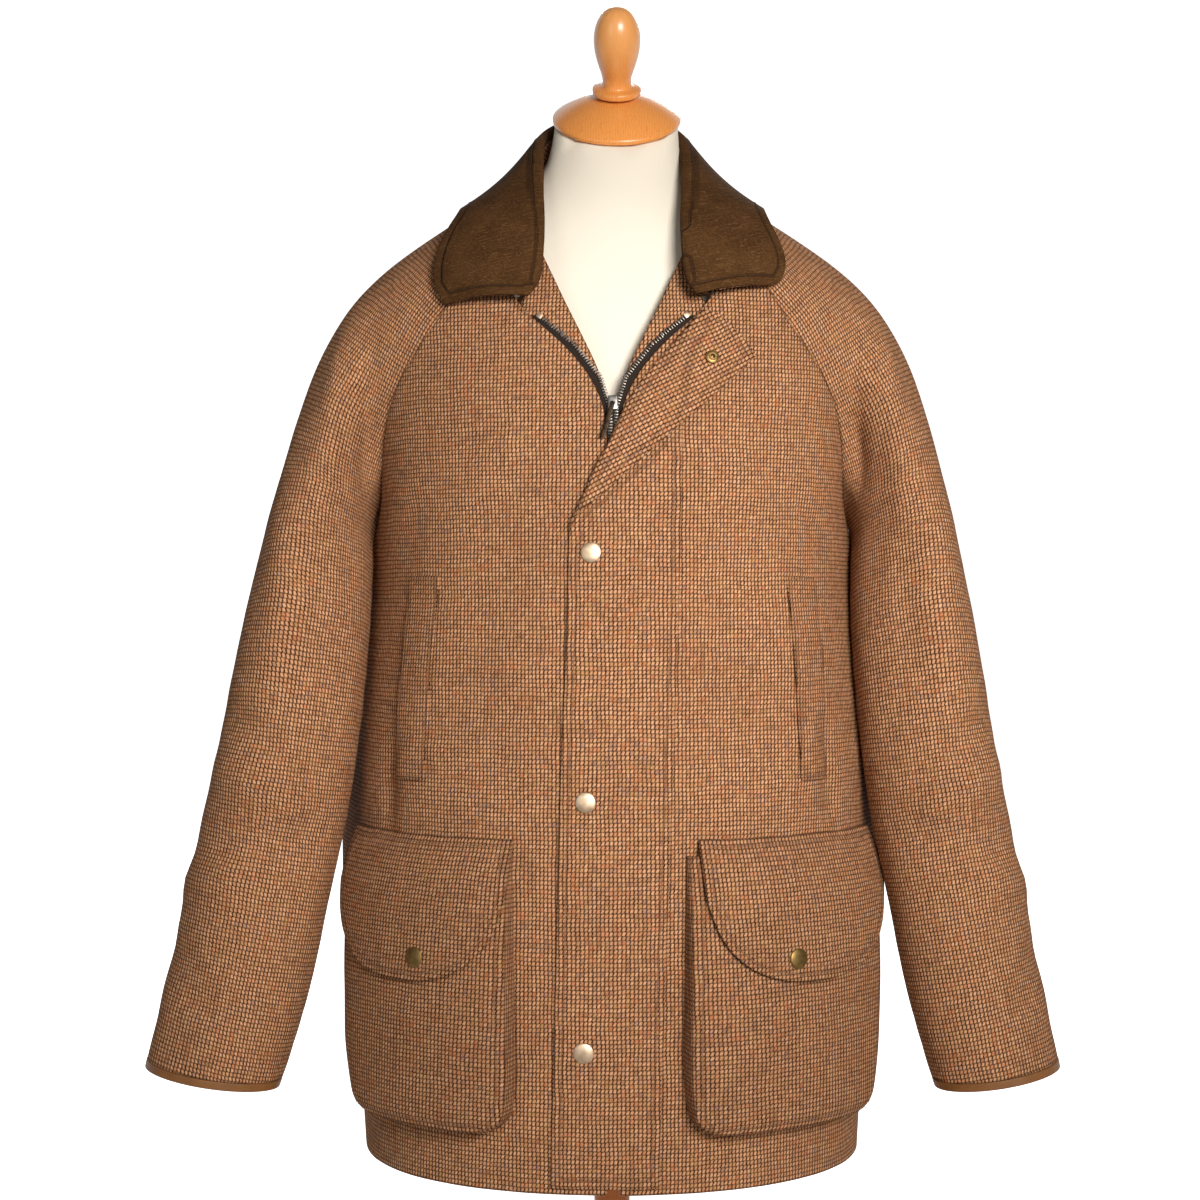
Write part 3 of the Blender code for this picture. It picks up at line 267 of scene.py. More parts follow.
def creased(creases, u, v):
    """How far the creases lift the cloth at flat places. Each fades out towards its two ends."""
    lift = np.zeros(len(u))
    for u0, v0, u1, v1, depth, width in zip(*creases.values()):
        du, dv = u1 - u0, v1 - v0
        length = math.hypot(du, dv)
        share = ((u - u0) * du + (v - v0) * dv) / length**2
        aside = ((u - u0) * dv - (v - v0) * du) / length
        bow = 0.10 * length * (share * (1 - share))
        fade = ease(share, -0.12, 0.3) * ease(-share, -1.12, -0.7)
        lift += depth * fade * np.exp(-(((aside - bow) / width) ** 2))
    return lift


def uneven(u, v, size, seed):
    """Soft uneven swells, about 1 up or down, of a size in metres."""
    return np.array([noise.noise((a / size, b / size, seed)) for a, b in zip(u, v)])


# Shaders


def linear(*colour):
    """A colour of 0 to 255, as seen on a screen, as shader values."""
    shares = np.array(colour) / 255
    return (*np.where(shares > 0.04045, ((shares + 0.055) / 1.055) ** 2.4, shares / 12.92), 1.0)


class Wire:
    """An output of a shader node, with arithmetic."""

    def __init__(self, look, socket):
        self.look = look
        self.socket = socket

    def math(self, operation, *others):
        return self.look.node("ShaderNodeMath", self, *others, operation=operation)

    def __add__(self, other):
        return self.math("ADD", other)

    def __sub__(self, other):
        return self.math("SUBTRACT", other)

    def __mul__(self, other):
        return self.math("MULTIPLY", other)

    def __truediv__(self, other):
        return self.math("DIVIDE", other)

    def abs(self):
        return self.math("ABSOLUTE")

    def floor(self):
        return self.math("FLOOR")

    def within(self, low, high):
        """0 at low and 1 at high, smooth between."""
        return self.look.node("ShaderNodeMapRange", self, low, high, interpolation_type="SMOOTHSTEP")


class Look:
    """A material with one principled shader, and a way to add any other node to it."""

    def __init__(self, name, **constants):
        self.material = bpy.data.materials.new(name)
        self.material.use_nodes = True
        self.tree = self.material.node_tree
        self.shader = self.tree.nodes["Principled BSDF"]
        for socket, value in constants.items():
            self.shader.inputs[socket.replace("_", " ").title().replace("Ior", "IOR")].default_value = value

    def node(self, kind, *inputs, output=0, named=None, **settings):
        made = self.tree.nodes.new(kind)
        for name, value in settings.items():
            setattr(made, name, value)
        pairs = list(enumerate(inputs)) + list((named or {}).items())
        for key, value in pairs:
            self.feed(made.inputs[key], value)
        return Wire(self, made.outputs[output])

    def feed(self, socket, value):
        if isinstance(value, Wire):
            self.tree.links.new(value.socket, socket)
        else:
            socket.default_value = value

    def mix(self, share, first, second, blend="MIX"):
        return self.node(
            "ShaderNodeMix",
            output=2,
            named={0: share, 6: first, 7: second},
            data_type="RGBA",
            blend_type=blend,
        )

    def cloth(self):
        """The flat cloth coordinates, in metres."""
        flat = self.node("ShaderNodeSeparateXYZ", self.node("ShaderNodeUVMap", uv_map="flat"))
        other = Wire(self, flat.socket.node.outputs[1])
        return flat, other

    def vector(self, x, y, z=0.0):
        return self.node("ShaderNodeCombineXYZ", x, y, z)

    def speckle(self, place, scale, detail=2.0, output=0):
        return self.node(
            "ShaderNodeTexNoise", output=output, named={"Vector": place, "Scale": scale, "Detail": detail}
        )

    def colour(self, value):
        self.feed(self.shader.inputs["Base Color"], value)

    def relief(self, height, distance, strength=1.0):
        settings = {"Height": height, "Distance": distance, "Strength": strength}
        bump = self.node("ShaderNodeBump", named=settings)
        self.feed(self.shader.inputs["Normal"], bump)


WEAVE_COLUMN = 0.00312
WEAVE_ROW = 0.0034


def tweed_look(name, inset, painted_light_level=1.0, rim=0.36):
    """Woven wool: slanting light beads in columns, dark between, with mixed threads; painted shade in the
    sewn groove and along the piece's edges, and over the whole cloth for the darker copies.
    """
    look = Look(name, roughness=0.95, specular_ior_level=0.05)
    u, v = look.cloth()
    place = look.vector(u, v)
    wander = look.node("ShaderNodeSeparateXYZ", look.speckle(place, 38, 1, output=1))
    sideways = Wire(look, wander.socket.node.outputs[1])
    fibre = look.node("ShaderNodeSeparateXYZ", look.speckle(place, 900, 1, output=1))
    frayed = Wire(look, fibre.socket.node.outputs[1])
    u = u + (wander - 0.5) * 0.0024
    v = v + (sideways - 0.5) * 0.0024
    column, row = u / WEAVE_COLUMN, v / WEAVE_ROW
    cell_place = look.vector(column.floor(), row.floor())
    cell = look.node("ShaderNodeTexWhiteNoise", cell_place, noise_dimensions="2D")
    hue_place = look.vector(row.floor(), column.floor() + 0.5)
    hue = look.node("ShaderNodeTexWhiteNoise", hue_place, noise_dimensions="2D")
    warp = look.node("ShaderNodeTexWhiteNoise", look.vector(column.floor(), 3.0), noise_dimensions="2D")
    across = column - column.floor() - 0.5 + (fibre - 0.5) * 0.38
    upward = row - row.floor() - 0.5 + (frayed - 0.5) * 0.40
    slanted = across - upward * 0.30
    ridge = slanted.abs().within(0.49, 0.17)
    knot = upward.abs().within(0.52, 0.20)
    bead = ridge * (knot * 0.76 + 0.24)
    warp_tone = look.speckle(look.vector(column.floor() * 0.61, v * 26), 1.0, 2)
    weft_tone = look.speckle(look.vector(u * 22, row.floor() * 0.83), 1.0, 2)
    patch = look.speckle(place, 11, 3)
    light = look.mix(cell, linear(186, 132, 92), linear(211, 157, 116))
    ground = look.mix(warp, linear(38, 15, 5), linear(52, 23, 9))
    woven = look.mix(bead, ground, light)
    woven = look.mix(hue.within(0.14, 0.08) * 0.20, woven, linear(172, 128, 66))
    woven = look.mix(hue.within(0.88, 0.94) * 0.30, woven, linear(180, 96, 54))
    woven = look.mix((hue - 0.5).abs().within(0.045, 0.02) * 0.26, woven, linear(104, 86, 90))
    woven = look.mix(weft_tone.within(0.55, 0.75) * 0.24, woven, linear(146, 92, 56))
    woven = look.mix(weft_tone.within(0.45, 0.25) * 0.26, woven, linear(92, 64, 52))
    woven = look.mix(warp_tone.within(0.45, 0.25) * 0.24, woven, linear(84, 54, 38))
    woven = look.mix(patch.within(0.35, 0.7) * 0.10, woven, linear(90, 54, 34))
    edge = look.node("ShaderNodeAttribute", output=2, attribute_name="edge")
    # painted shade: the cloth is darkened in the sewn groove at the stitching line, where shade falls
    groove = (edge - inset).abs().within(0.0020, 0.0002)
    woven = look.mix(groove * 0.28, woven, linear(66, 36, 21))
    # painted shade: a dark line along every piece's edge, where seams and overlapping pieces cast shade
    woven = look.mix(edge.within(0.0022, 0.0004) * rim, woven, linear(38, 19, 10))
    # painted shade: pieces that are lit less, the pockets and welts, are darkened all over
    if painted_light_level < 1:
        woven = look.mix(1.0 - painted_light_level, woven, linear(40, 22, 13))
    look.colour(woven)
    fuzz = look.speckle(place, 2600, 2)
    look.relief(bead * 0.8 + fuzz * 0.45 - groove * 1.1, 0.0007, 0.8)
    return look.material


def napped_look(inset):
    """Brown cloth with a short brushed nap, a sewn groove in its relief, and painted shade in that groove.
    """
    look = Look("napped_cloth_look", roughness=0.97, specular_ior_level=0.03)
    place = look.node("ShaderNodeTexCoord", output=3)
    u, v = look.cloth()
    swirl = look.speckle(place, 70, 2)
    hairs = look.speckle(look.vector(u * 260 + swirl * 9, v * 900 + swirl * 9), 1.0, 3)
    clouds = look.speckle(place, 45, 3)
    worn = look.speckle(place, 800, 2)
    nap = look.mix(clouds.within(0.30, 0.72), linear(68, 44, 23), linear(80, 53, 29))
    nap = look.mix(hairs.within(0.46, 0.72) * 0.60, nap, linear(112, 79, 48))
    nap = look.mix(worn.within(0.50, 0.34) * 0.40, nap, linear(34, 20, 9))
    edge = look.node("ShaderNodeAttribute", output=2, attribute_name="edge")
    groove = (edge - inset).abs().within(0.0020, 0.0002)
    # painted shade: the nap is darkened in the sewn groove at the stitching line, where shade falls
    look.colour(look.mix(groove * 0.5, nap, linear(30, 18, 9)))
    look.relief(hairs * 0.6 + worn * 0.5 - groove * 2, 0.0006, 0.8)
    return look.material


def tape_look():
    look = Look("zip_tape_look", roughness=0.85, specular_ior_level=0.2)
    u, v = look.cloth()
    rib = (v / 0.0009 - (v / 0.0009).floor() - 0.5).abs()
    look.colour(look.mix(rib, linear(34, 25, 20), linear(58, 44, 34)))
    look.relief(rib, 0.0003)
    return look.material


def leather_look():
    look = Look("leather_look", roughness=0.55, specular_ior_level=0.35)
    place = look.node("ShaderNodeTexCoord", output=3)
    grain = look.node("ShaderNodeTexVoronoi", named={"Vector": place, "Scale": 900.0})
    tone = look.speckle(place, 60, 3)
    look.colour(look.mix(tone, linear(96, 58, 26), linear(140, 92, 46)))
    look.relief(grain, 0.0003, 0.5)
    return look.material


def metal_look(name, bright, dull, roughness):
    look = Look(name, metallic=1.0, roughness=roughness)
    place = look.node("ShaderNodeTexCoord", output=3)
    tone = look.speckle(place, 240, 4)
    scratch = look.speckle(place, 2400, 2)
    look.colour(look.mix(tone.within(0.35, 0.7), linear(*bright), linear(*dull)))
    look.feed(look.shader.inputs["Roughness"], scratch * 0.25 + (roughness - 0.10))
    look.relief(scratch, 0.00005, 0.5)
    return look.material


def canvas_look():
    look = Look("form_cloth_look", roughness=0.9, specular_ior_level=0.15)
    place = look.node("ShaderNodeTexCoord", output=3)
    parts = look.node("ShaderNodeSeparateXYZ", place)
    height = Wire(look, parts.socket.node.outputs[2])
    cross = (parts * 3900).math("SINE") * (height * 3900).math("SINE")
    stain = look.speckle(place, 7, 3)
    look.colour(look.mix(stain, linear(224, 211, 190), linear(235, 224, 206)))
    look.relief(cross, 0.0001, 0.6)
    return look.material


def wood_look():
    look = Look("wood_look", roughness=0.32, specular_ior_level=0.45, coat_weight=0.25, coat_roughness=0.2)
    place = look.node("ShaderNodeTexCoord", output=3)
    parts = look.node("ShaderNodeSeparateXYZ", place)
    depth, height = (Wire(look, parts.socket.node.outputs[k]) for k in (1, 2))
    long_grain = look.vector(parts * 55, depth * 55, height * 9)
    rings = look.node(
        "ShaderNodeTexWave",
        named={"Vector": long_grain, "Scale": 2.6, "Distortion": 7.0, "Detail": 4.0, "Detail Scale": 1.6},
        bands_direction="X",
    )
    pores = look.speckle(look.vector(parts * 900, depth * 900, height * 60), 1.0, 2)
    tone = look.mix(rings * 0.5, linear(218, 136, 62), linear(230, 156, 84))
    tone = look.mix(pores.within(0.55, 0.75) * 0.35, tone, linear(150, 76, 28))
    # painted light: the top, the finial, is made paler where light falls on it from above
    tone = look.mix(height.within(0.99, 1.03) * 0.7, tone, linear(226, 158, 92))
    look.colour(tone)
    look.relief(pores, 0.0001, 0.25)
    return look.material


def thread_look():
    look = Look("thread_look", roughness=0.7, specular_ior_level=0.25, sheen_weight=0.2)
    place = look.node("ShaderNodeTexCoord", output=3)
    tone = look.speckle(place, 500, 2)
    look.colour(look.mix(tone, linear(104, 66, 40), linear(142, 98, 64)))
    return look.material


def brown_thread_look():
    look = Look("brown_thread_look", roughness=0.7, specular_ior_level=0.25)
    place = look.node("ShaderNodeTexCoord", output=3)
    tone = look.speckle(place, 500, 2)
    look.colour(look.mix(tone, linear(48, 30, 18), linear(74, 49, 30)))
    return look.material


# Pieces


def soft_copy(node, levels, keep=0.9, crease_angle=50, measure_edge=False):
    """A finer copy of a solid, smooth over its faces and tight along its edges."""
    bm = bmesh.new()
    bm.from_mesh(NODES[node].data)
    bmesh.ops.remove_doubles(bm, verts=bm.verts, dist=1e-5)
    bmesh.ops.join_triangles(bm, faces=bm.faces, angle_face_threshold=0.8, angle_shape_threshold=3.1)
    crease = bm.edges.layers.float.new("crease_edge")
    rim = []
    for edge in bm.edges:
        if edge.calc_face_angle(0) > math.radians(crease_angle):
            edge[crease] = keep
            start, end = (vert.co for vert in edge.verts)
            steps = max(2, int(edge.calc_length() / 0.001))
            rim.extend(start.lerp(end, step / steps) for step in range(steps + 1))
    coarse = bpy.data.meshes.new(f"{node}_coarse")
    bm.to_mesh(coarse)
    bm.free()
    holder = bpy.data.objects.new(f"{node}_coarse", coarse)
    bpy.context.scene.collection.objects.link(holder)
    modifier = holder.modifiers.new("finer", "SUBSURF")
    modifier.levels = levels
    modifier.render_levels = levels
    graph = bpy.context.evaluated_depsgraph_get()
    mesh = bpy.data.meshes.new_from_object(holder.evaluated_get(graph))
    bpy.data.objects.remove(holder)
    if measure_edge:
        keep_edge_distance(mesh, rim)
    return mesh


def keep_edge_distance(mesh, rim):
    """Keeps each point's distance from the piece's edge, for sewing along it."""
    tree = KDTree(len(rim))
    for index, place in enumerate(rim):
        tree.insert(place, index)
    tree.balance()
    distances = [tree.find(vert.co)[2] for vert in mesh.vertices]
    mesh.attributes.new("edge", "FLOAT", "POINT").data.foreach_set("value", distances)


def show(name, mesh, material, node=None, body="coat", sharp=40):
    mesh.name = name
    mesh.materials.clear()
    mesh.materials.append(material)
    mesh.shade_smooth()
    mesh.set_sharp_from_angle(angle=math.radians(sharp))
    piece = bpy.data.objects.new(name, mesh)
    bpy.context.scene.collection.objects.link(piece)
    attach(piece, body)
    if node:
        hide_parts(node)
    return piece


def read_points(mesh):
    points = np.empty(len(mesh.vertices) * 3)
    mesh.vertices.foreach_get("co", points)
    return points.reshape(-1, 3)


def write_points(mesh, points):
    mesh.vertices.foreach_set("co", points.ravel())
    mesh.update()


def write_flat(mesh, u, v):
    """Keeps the flat cloth coordinates of every corner."""
    corners = np.empty(len(mesh.loops), int)
    mesh.loops.foreach_get("vertex_index", corners)
    layer = mesh.uv_layers.new(name="flat")
    layer.uv.foreach_set("vector", np.stack([u[corners], v[corners]], axis=1).ravel())


# How much the creases are deepened, and how far the body's sides and the sleeves' inner sides swell
CREASE_GAIN = 1.5
SIDE_SWELL = 0.009
INNER_SWELL = 0.003


def side_swell(points):
    """The body's sides swell a little behind the sleeves."""
    x, y, z = points.T
    centre = np.interp(z, BODY["height"], BODY["side"]) + 0.012
    behind = np.exp(-(((y - centre) / 0.042) ** 2)) * ease(np.abs(x), 0.14, 0.18)
    return SIDE_SWELL * behind * ease(z, 0.20, 0.34) * ease(-z, -0.66, -0.60)


def body_drape(u, v, points):
    """How far the body's cloth stands off its solid's form."""
    away_from_sleeves = 1 - ease(points[:, 2], 0.60, 0.70) * ease(np.abs(points[:, 0]), 0.08, 0.15)
    below_collar = 1 - ease(points[:, 2], 0.76, 0.82)
    swell = 0.0011 * uneven(u, v, 0.085, 3.1) + 0.0006 * uneven(u, v, 0.034, 8.7)
    folds = CREASE_GAIN * creased(BODY_CREASES, u, v) + swell
    return side_swell(points) + folds * away_from_sleeves * below_collar


def sleeve_drape(u, v, points):
    inside = ease(v, 0.05, 0.20) * ease(-v, -0.745, -0.70)
    swell = 0.0012 * uneven(u, v, 0.07, 5.3) + 0.0007 * uneven(u, v, 0.03, 1.9)
    inner = INNER_SWELL * ease(np.abs(u), 0.12, 0.16) * ease(v, 0.26, 0.31) * ease(-v, -0.60, -0.45)
    return (CREASE_GAIN * creased(SLEEVE_CREASES, u, v) + swell) * inside + inner


OUTWARD = {}
CUTS = {}


def cloth_piece(node, levels, place, drape, material, keep=0.9):
    """A cloth piece on its solid's form, with its creases and its flat coordinates."""
    mesh = soft_copy(node, levels, keep, measure_edge=True)
    points = read_points(mesh)
    normals = np.array([vert.normal for vert in mesh.vertices])
    u, v, out = place(points, normals)
    if drape:
        write_points(mesh, points + out * drape(u, v, points)[:, None])
    write_flat(mesh, u, v)
    piece = show(f"{node}_cloth", mesh, material, node)
    OUTWARD[piece.name] = [Vector(way) for way in out]
    CUTS[node] = np.ptp(u), np.ptp(v), sum(face.area for face in mesh.polygons) / 2
    return piece


def faces_of(piece):
    """A piece's faces, to cast rays on."""
    mesh = piece.data
    corners = [vert.co for vert in mesh.vertices]
    return BVHTree.FromPolygons(corners, [face.vertices for face in mesh.polygons])


def level_lines(piece, inset):
    """Lines on a piece's outer face at one distance from its edge: lists of places and face normals."""
    mesh = piece.data
    mesh.calc_loop_triangles()
    edge = np.empty(len(mesh.vertices))
    mesh.attributes["edge"].data.foreach_get("value", edge)
    points = read_points(mesh)
    outward = OUTWARD[piece.name]
    places, normals, links = {}, {}, {}
    for triangle in mesh.loop_triangles:
        ids = triangle.vertices
        if min(edge[k] for k in ids) > inset or max(edge[k] for k in ids) <= inset:
            continue
        if triangle.normal.dot(outward[ids[0]]) < 0.3:
            continue
        ends = []
        for a, b in ((ids[0], ids[1]), (ids[1], ids[2]), (ids[2], ids[0])):
            if (edge[a] > inset) != (edge[b] > inset):
                key = (min(a, b), max(a, b))
                share = (inset - edge[key[0]]) / (edge[key[1]] - edge[key[0]])
                places[key] = Vector(points[key[0]] + (points[key[1]] - points[key[0]]) * share)
                normals[key] = triangle.normal.copy()
                ends.append(key)
        links.setdefault(ends[0], []).append(ends[1])
        links.setdefault(ends[1], []).append(ends[0])
    lines, used = [], set()
    for first in sorted(links, key=lambda key: (len(links[key]), key)):
        if first in used:
            continue
        line, here = [], first
        while here is not None:
            used.add(here)
            line.append((places[here], normals[here]))
            here = next((key for key in links[here] if key not in used), None)
        lines.append(line)
    return lines


def row_at(distance, run, rows):
    """A row of three numbers at a distance down a line."""
    return np.array([np.interp(distance, run, rows[:, axis]) for axis in range(3)])


def stitches(name, lines, thread, pitch=0.0034, length=0.0025, radius=0.00028, rise=0.0003):
    """Short sewn stitches along lines, as one piece."""
    curve = bpy.data.curves.new(name, "CURVE")
    curve.dimensions = "3D"
    curve.bevel_depth = radius
    curve.bevel_resolution = 1
    curve.use_fill_caps = True
    for line in lines:
        places = np.array([place for place, normal in line])
        ways = np.array([normal for place, normal in line])
        if len(places) < 3:
            continue
        run = np.concatenate([[0], np.cumsum(np.linalg.norm(np.diff(places, axis=0), axis=1))])
        smooth = min(9, 2 * (len(places) // 4) + 1)
        for axis in range(3):
            padded = np.pad(places[:, axis], smooth // 2, mode="edge")
            places[:, axis] = np.convolve(padded, np.ones(smooth) / smooth, mode="valid")
        for start in np.arange(0.001, run[-1] - length, pitch):
            out = unit(row_at(start, run, ways))
            spline = curve.splines.new("POLY")
            spline.points.add(2)
            for index, (share, height) in enumerate(((0, -0.1), (0.5, 1), (1, -0.1))):
                place = row_at(start + length * share, run, places) + out * rise * height
                spline.points[index].co = (*place, 1)
    sewn = bpy.data.objects.new(name, curve)
    curve.materials.append(thread)
    bpy.context.scene.collection.objects.link(sewn)
    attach(sewn, "coat")
    return sewn


def storm_place(points, normals=None):
    """As on the body, with the turned-back corner laid flat across its fold."""
    u, v, out = body_place(points)
    lifted = (body_face(points[:, 0], v) - points[:, 1] > 0.0052) & (v > 0.625)
    start = np.array((-0.032, 0.627))
    along = unit(np.array((0.0965, 0.162)))
    flat = np.stack([u, v], axis=1) - start
    turned = start + 2 * (flat @ along)[:, None] * along - flat
    return np.where(lifted, turned[:, 0], u), np.where(lifted, turned[:, 1], v), out


# Half sections of the snaps: shares of the radius, and rise in metres
CAP_SECTION = (
    (0, 0.00235),
    (0.30, 0.00228),
    (0.60, 0.00200),
    (0.82, 0.00150),
    (0.90, 0.00125),
    (0.96, 0.00110),
    (1.0, 0.00075),
    (1.0, 0.00040),
    (0.94, 0),
    (0, 0),
)
SOCKET_SECTION = (
    (0.28, 0.0004),
    (0.30, 0.0016),
    (0.38, 0.0022),
    (0.52, 0.0022),
    (0.60, 0.0013),
    (0.76, 0.0011),
    (0.84, 0.0015),
    (0.94, 0.0013),
    (1.0, 0.0005),
    (0.94, 0),
    (0.28, 0),
)


def turned_cap(node, section, material):
    """A snap turned finer than its solid, at its place and facing the same way."""
    points = np.array([vert.co for vert in NODES[node].data.vertices])
    centre = points.mean(axis=0)
    axis = np.linalg.svd(points - centre, full_matrices=False)[2][2]
    axis = axis if axis[1] < 0 else -axis
    rises = (points - centre) @ axis
    base = centre + axis * rises.min()
    radius = np.linalg.norm(points - centre - np.outer(rises, axis), axis=1).max()
    bm = bmesh.new()
    corners = [bm.verts.new((share * radius, 0, rise)) for share, rise in section]
    edges = [bm.edges.new(pair) for pair in zip(corners, corners[1:])]
    if section[0][0] > 0:
        edges.append(bm.edges.new((corners[-1], corners[0])))
    bmesh.ops.spin(bm, geom=corners + edges, axis=(0, 0, 1), angle=2 * math.pi, steps=48, use_merge=True)
    bmesh.ops.remove_doubles(bm, verts=bm.verts, dist=1e-6)
    bmesh.ops.recalc_face_normals(bm, faces=bm.faces)
    tilt = Vector((0, 0, 1)).rotation_difference(Vector(axis)).to_matrix()
    bmesh.ops.rotate(bm, verts=bm.verts, matrix=tilt)
    bmesh.ops.translate(bm, verts=bm.verts, vec=Vector(base))
    mesh = bpy.data.meshes.new(f"{node}_cap")
    bm.to_mesh(mesh)
    bm.free()
    return show(f"{node}_cap", mesh, material, node)


make_camera()
EDGE_SEWING = 0.006
COLLAR_SEWING = 0.008
WELT_SEWING = 0.0025
TWIN_ROW = 0.005
# Copies of one tweed, each with painted shade at its edges; the pocket and welt copies are darker all over
# as painted shade
TWEED = tweed_look("tweed_look", 1.0)
SEWN_TWEED = tweed_look("sewn_tweed_look", EDGE_SEWING, 1.0, 0.22)
SHADED_POCKET_TWEED = tweed_look("shaded_pocket_tweed_look", EDGE_SEWING, 0.88)
SHADED_WELT_TWEED = tweed_look("shaded_welt_tweed_look", WELT_SEWING, 0.97, 0.10)
NAPPED = napped_look(COLLAR_SEWING)
TAPE = tape_look()
LEATHER = leather_look()
BRASS = metal_look("brass_look", (220, 194, 164), (200, 170, 138), 0.46)
AGED_BRASS = metal_look("aged_brass_look", (150, 122, 74), (128, 102, 58), 0.44)
NICKEL = metal_look("nickel_look", (136, 128, 118), (98, 91, 83), 0.38)
SILVER = metal_look("silver_look", (196, 192, 184), (150, 145, 138), 0.30)
BRONZE = metal_look("bronze_look", (62, 49, 39), (38, 30, 24), 0.40)
CANVAS = canvas_look()
WOOD = wood_look()
THREAD = thread_look()
BROWN_THREAD = brown_thread_look()

FINE = 3
PIECES = {}
for side in ("left", "right"):
    PIECES[f"front_{side}"] = cloth_piece(f"front_{side}", FINE, body_place, body_drape, TWEED)
    for half in ("front", "back"):
        node = f"sleeve_{side}_{half}"
        PIECES[node] = cloth_piece(node, FINE, sleeve_place(side), sleeve_drape, TWEED)
    for node, place, material in (
        (f"pocket_bag_{side}", pocket_place, SHADED_POCKET_TWEED),
        (f"pocket_flap_{side}", body_place, SHADED_POCKET_TWEED),
        (f"welt_{side}", body_place, SHADED_WELT_TWEED),
    ):
        PIECES[node] = cloth_piece(node, FINE, place, body_drape, material)
    PIECES[f"facing_{side}"] = cloth_piece(f"facing_{side}", 2, body_place, None, TWEED)
    PIECES[f"zip_tape_{side}"] = cloth_piece(f"zip_tape_{side}", 2, body_place, None, TAPE)
    PIECES[f"cuff_binding_{side}"] = cloth_piece(
        f"cuff_binding_{side}", 3, sleeve_place(side), None, LEATHER, 0.55
    )
PIECES["back"] = cloth_piece("back", FINE, back_place, body_drape, TWEED)
PIECES["storm_flap"] = cloth_piece("storm_flap", FINE, storm_place, body_drape, SEWN_TWEED)
PIECES["collar"] = cloth_piece("collar", FINE, body_place, None, NAPPED)
PIECES["undercollar"] = cloth_piece("undercollar", 2, body_place, None, TWEED)
PIECES["collar_stand"] = cloth_piece("collar_stand", 2, body_place, None, TWEED)
for node in ("neck_cap", "finial", "pole", "foot"):
    show(f"{node}_turned", soft_copy(node, 2), WOOD, node)
torso = show("form_torso_cover", soft_copy("form_torso", 2), CANVAS, "form_torso")
for node in ("snap_front_1", "snap_front_2", "snap_front_3"):
    turned_cap(node, CAP_SECTION, BRASS)
for node in ("snap_pocket_left", "snap_pocket_right"):
    turned_cap(node, CAP_SECTION, AGED_BRASS)
turned_cap("snap_socket", SOCKET_SECTION, AGED_BRASS)
show("zip_slider_body", soft_copy("zip_slider", 2), SILVER, "zip_slider")
PULL_SLIMMING = 0.30
pull_mesh = soft_copy("zip_pull", 2)
pull_points = read_points(pull_mesh)
pull_middle = pull_points.mean(axis=0)
pull_across = np.linalg.svd(pull_points - pull_middle, full_matrices=False)[2][1]
pull_aside = np.outer((pull_points - pull_middle) @ pull_across, pull_across)
write_points(pull_mesh, pull_points - PULL_SLIMMING * pull_aside)
show("zip_pull_tab", pull_mesh, BRONZE, "zip_pull", body="zip_pull")


# Sewing, zip teeth and stops

SEWING = {
    "pocket_flap_left": EDGE_SEWING,
    "pocket_flap_right": EDGE_SEWING,
    "pocket_bag_left": EDGE_SEWING,
    "pocket_bag_right": EDGE_SEWING,
    "storm_flap": EDGE_SEWING,
    "welt_left": WELT_SEWING,
    "welt_right": WELT_SEWING,
    "collar": COLLAR_SEWING,
}
for node, inset in SEWING.items():
    thread = BROWN_THREAD if node == "collar" else THREAD
    lines = level_lines(PIECES[node], inset)
    if node.startswith("pocket_flap"):
        lines += level_lines(PIECES[node], inset + TWIN_ROW)
    stitches(f"{node}_stitches", lines, thread)


STRIPS = ("zip_tape", "facing", "welt", "collar")


def declare_sheet(node):
    """Works out a piece's cut, its flat area and its flat width and length round its solid's wall, and
    keeps none of it.

    A strip's length is the longer of the two, and its width is its area over that.
    """
    width, length, area = CUTS[node]
    if node.startswith(STRIPS) or node == "undercollar":
        length = max(width, length)
        width = area / length


for node in PIECES:
    declare_sheet(node)

ZIP_EDGE = table(
    "height x",
    (0.128, 0.0004),
    (0.690, 0.0004),
    (0.718, 0.0008),
    (0.742, 0.0082),
    (0.771, 0.0305),
    (0.790, 0.0535),
)
TOOTH_PITCH = 0.0023
TOOTH_SIZE = (0.0038, 0.0012, 0.0016)
STOP_SIZE = (0.0042, 0.0046, 0.0022)
TOOTH_ASIDE = (0.0016, 0.0026, 0.0036, 0.0046)
TAPE_FACES = {side: faces_of(NODES[f"zip_tape_{side}"]) for side in ("left", "right")}


def tape_place(side, x, height):
    """A place on a tape's outer face, and the way out there."""
    hit, normal, _, _ = TAPE_FACES[side].ray_cast(Vector((x, -1, height)), Vector((0, 1, 0)))
    return hit, normal


def add_block(bm, place, along, out, size, round_by):
    """A block with rounded edges, its length along one way and its height out."""
    across = along.cross(out).normalized()
    turn = Matrix((across, along.normalized(), across.cross(along).normalized())).transposed().to_4x4()
    matrix = Matrix.Translation(place) @ turn @ Matrix.Diagonal((*size, 1))
    made = bmesh.ops.create_cube(bm, size=1, matrix=matrix)
    edges = {edge for vert in made["verts"] for edge in vert.link_edges}
    bmesh.ops.bevel(bm, geom=list(edges), offset=round_by, segments=2, profile=0.5, affect="EDGES")


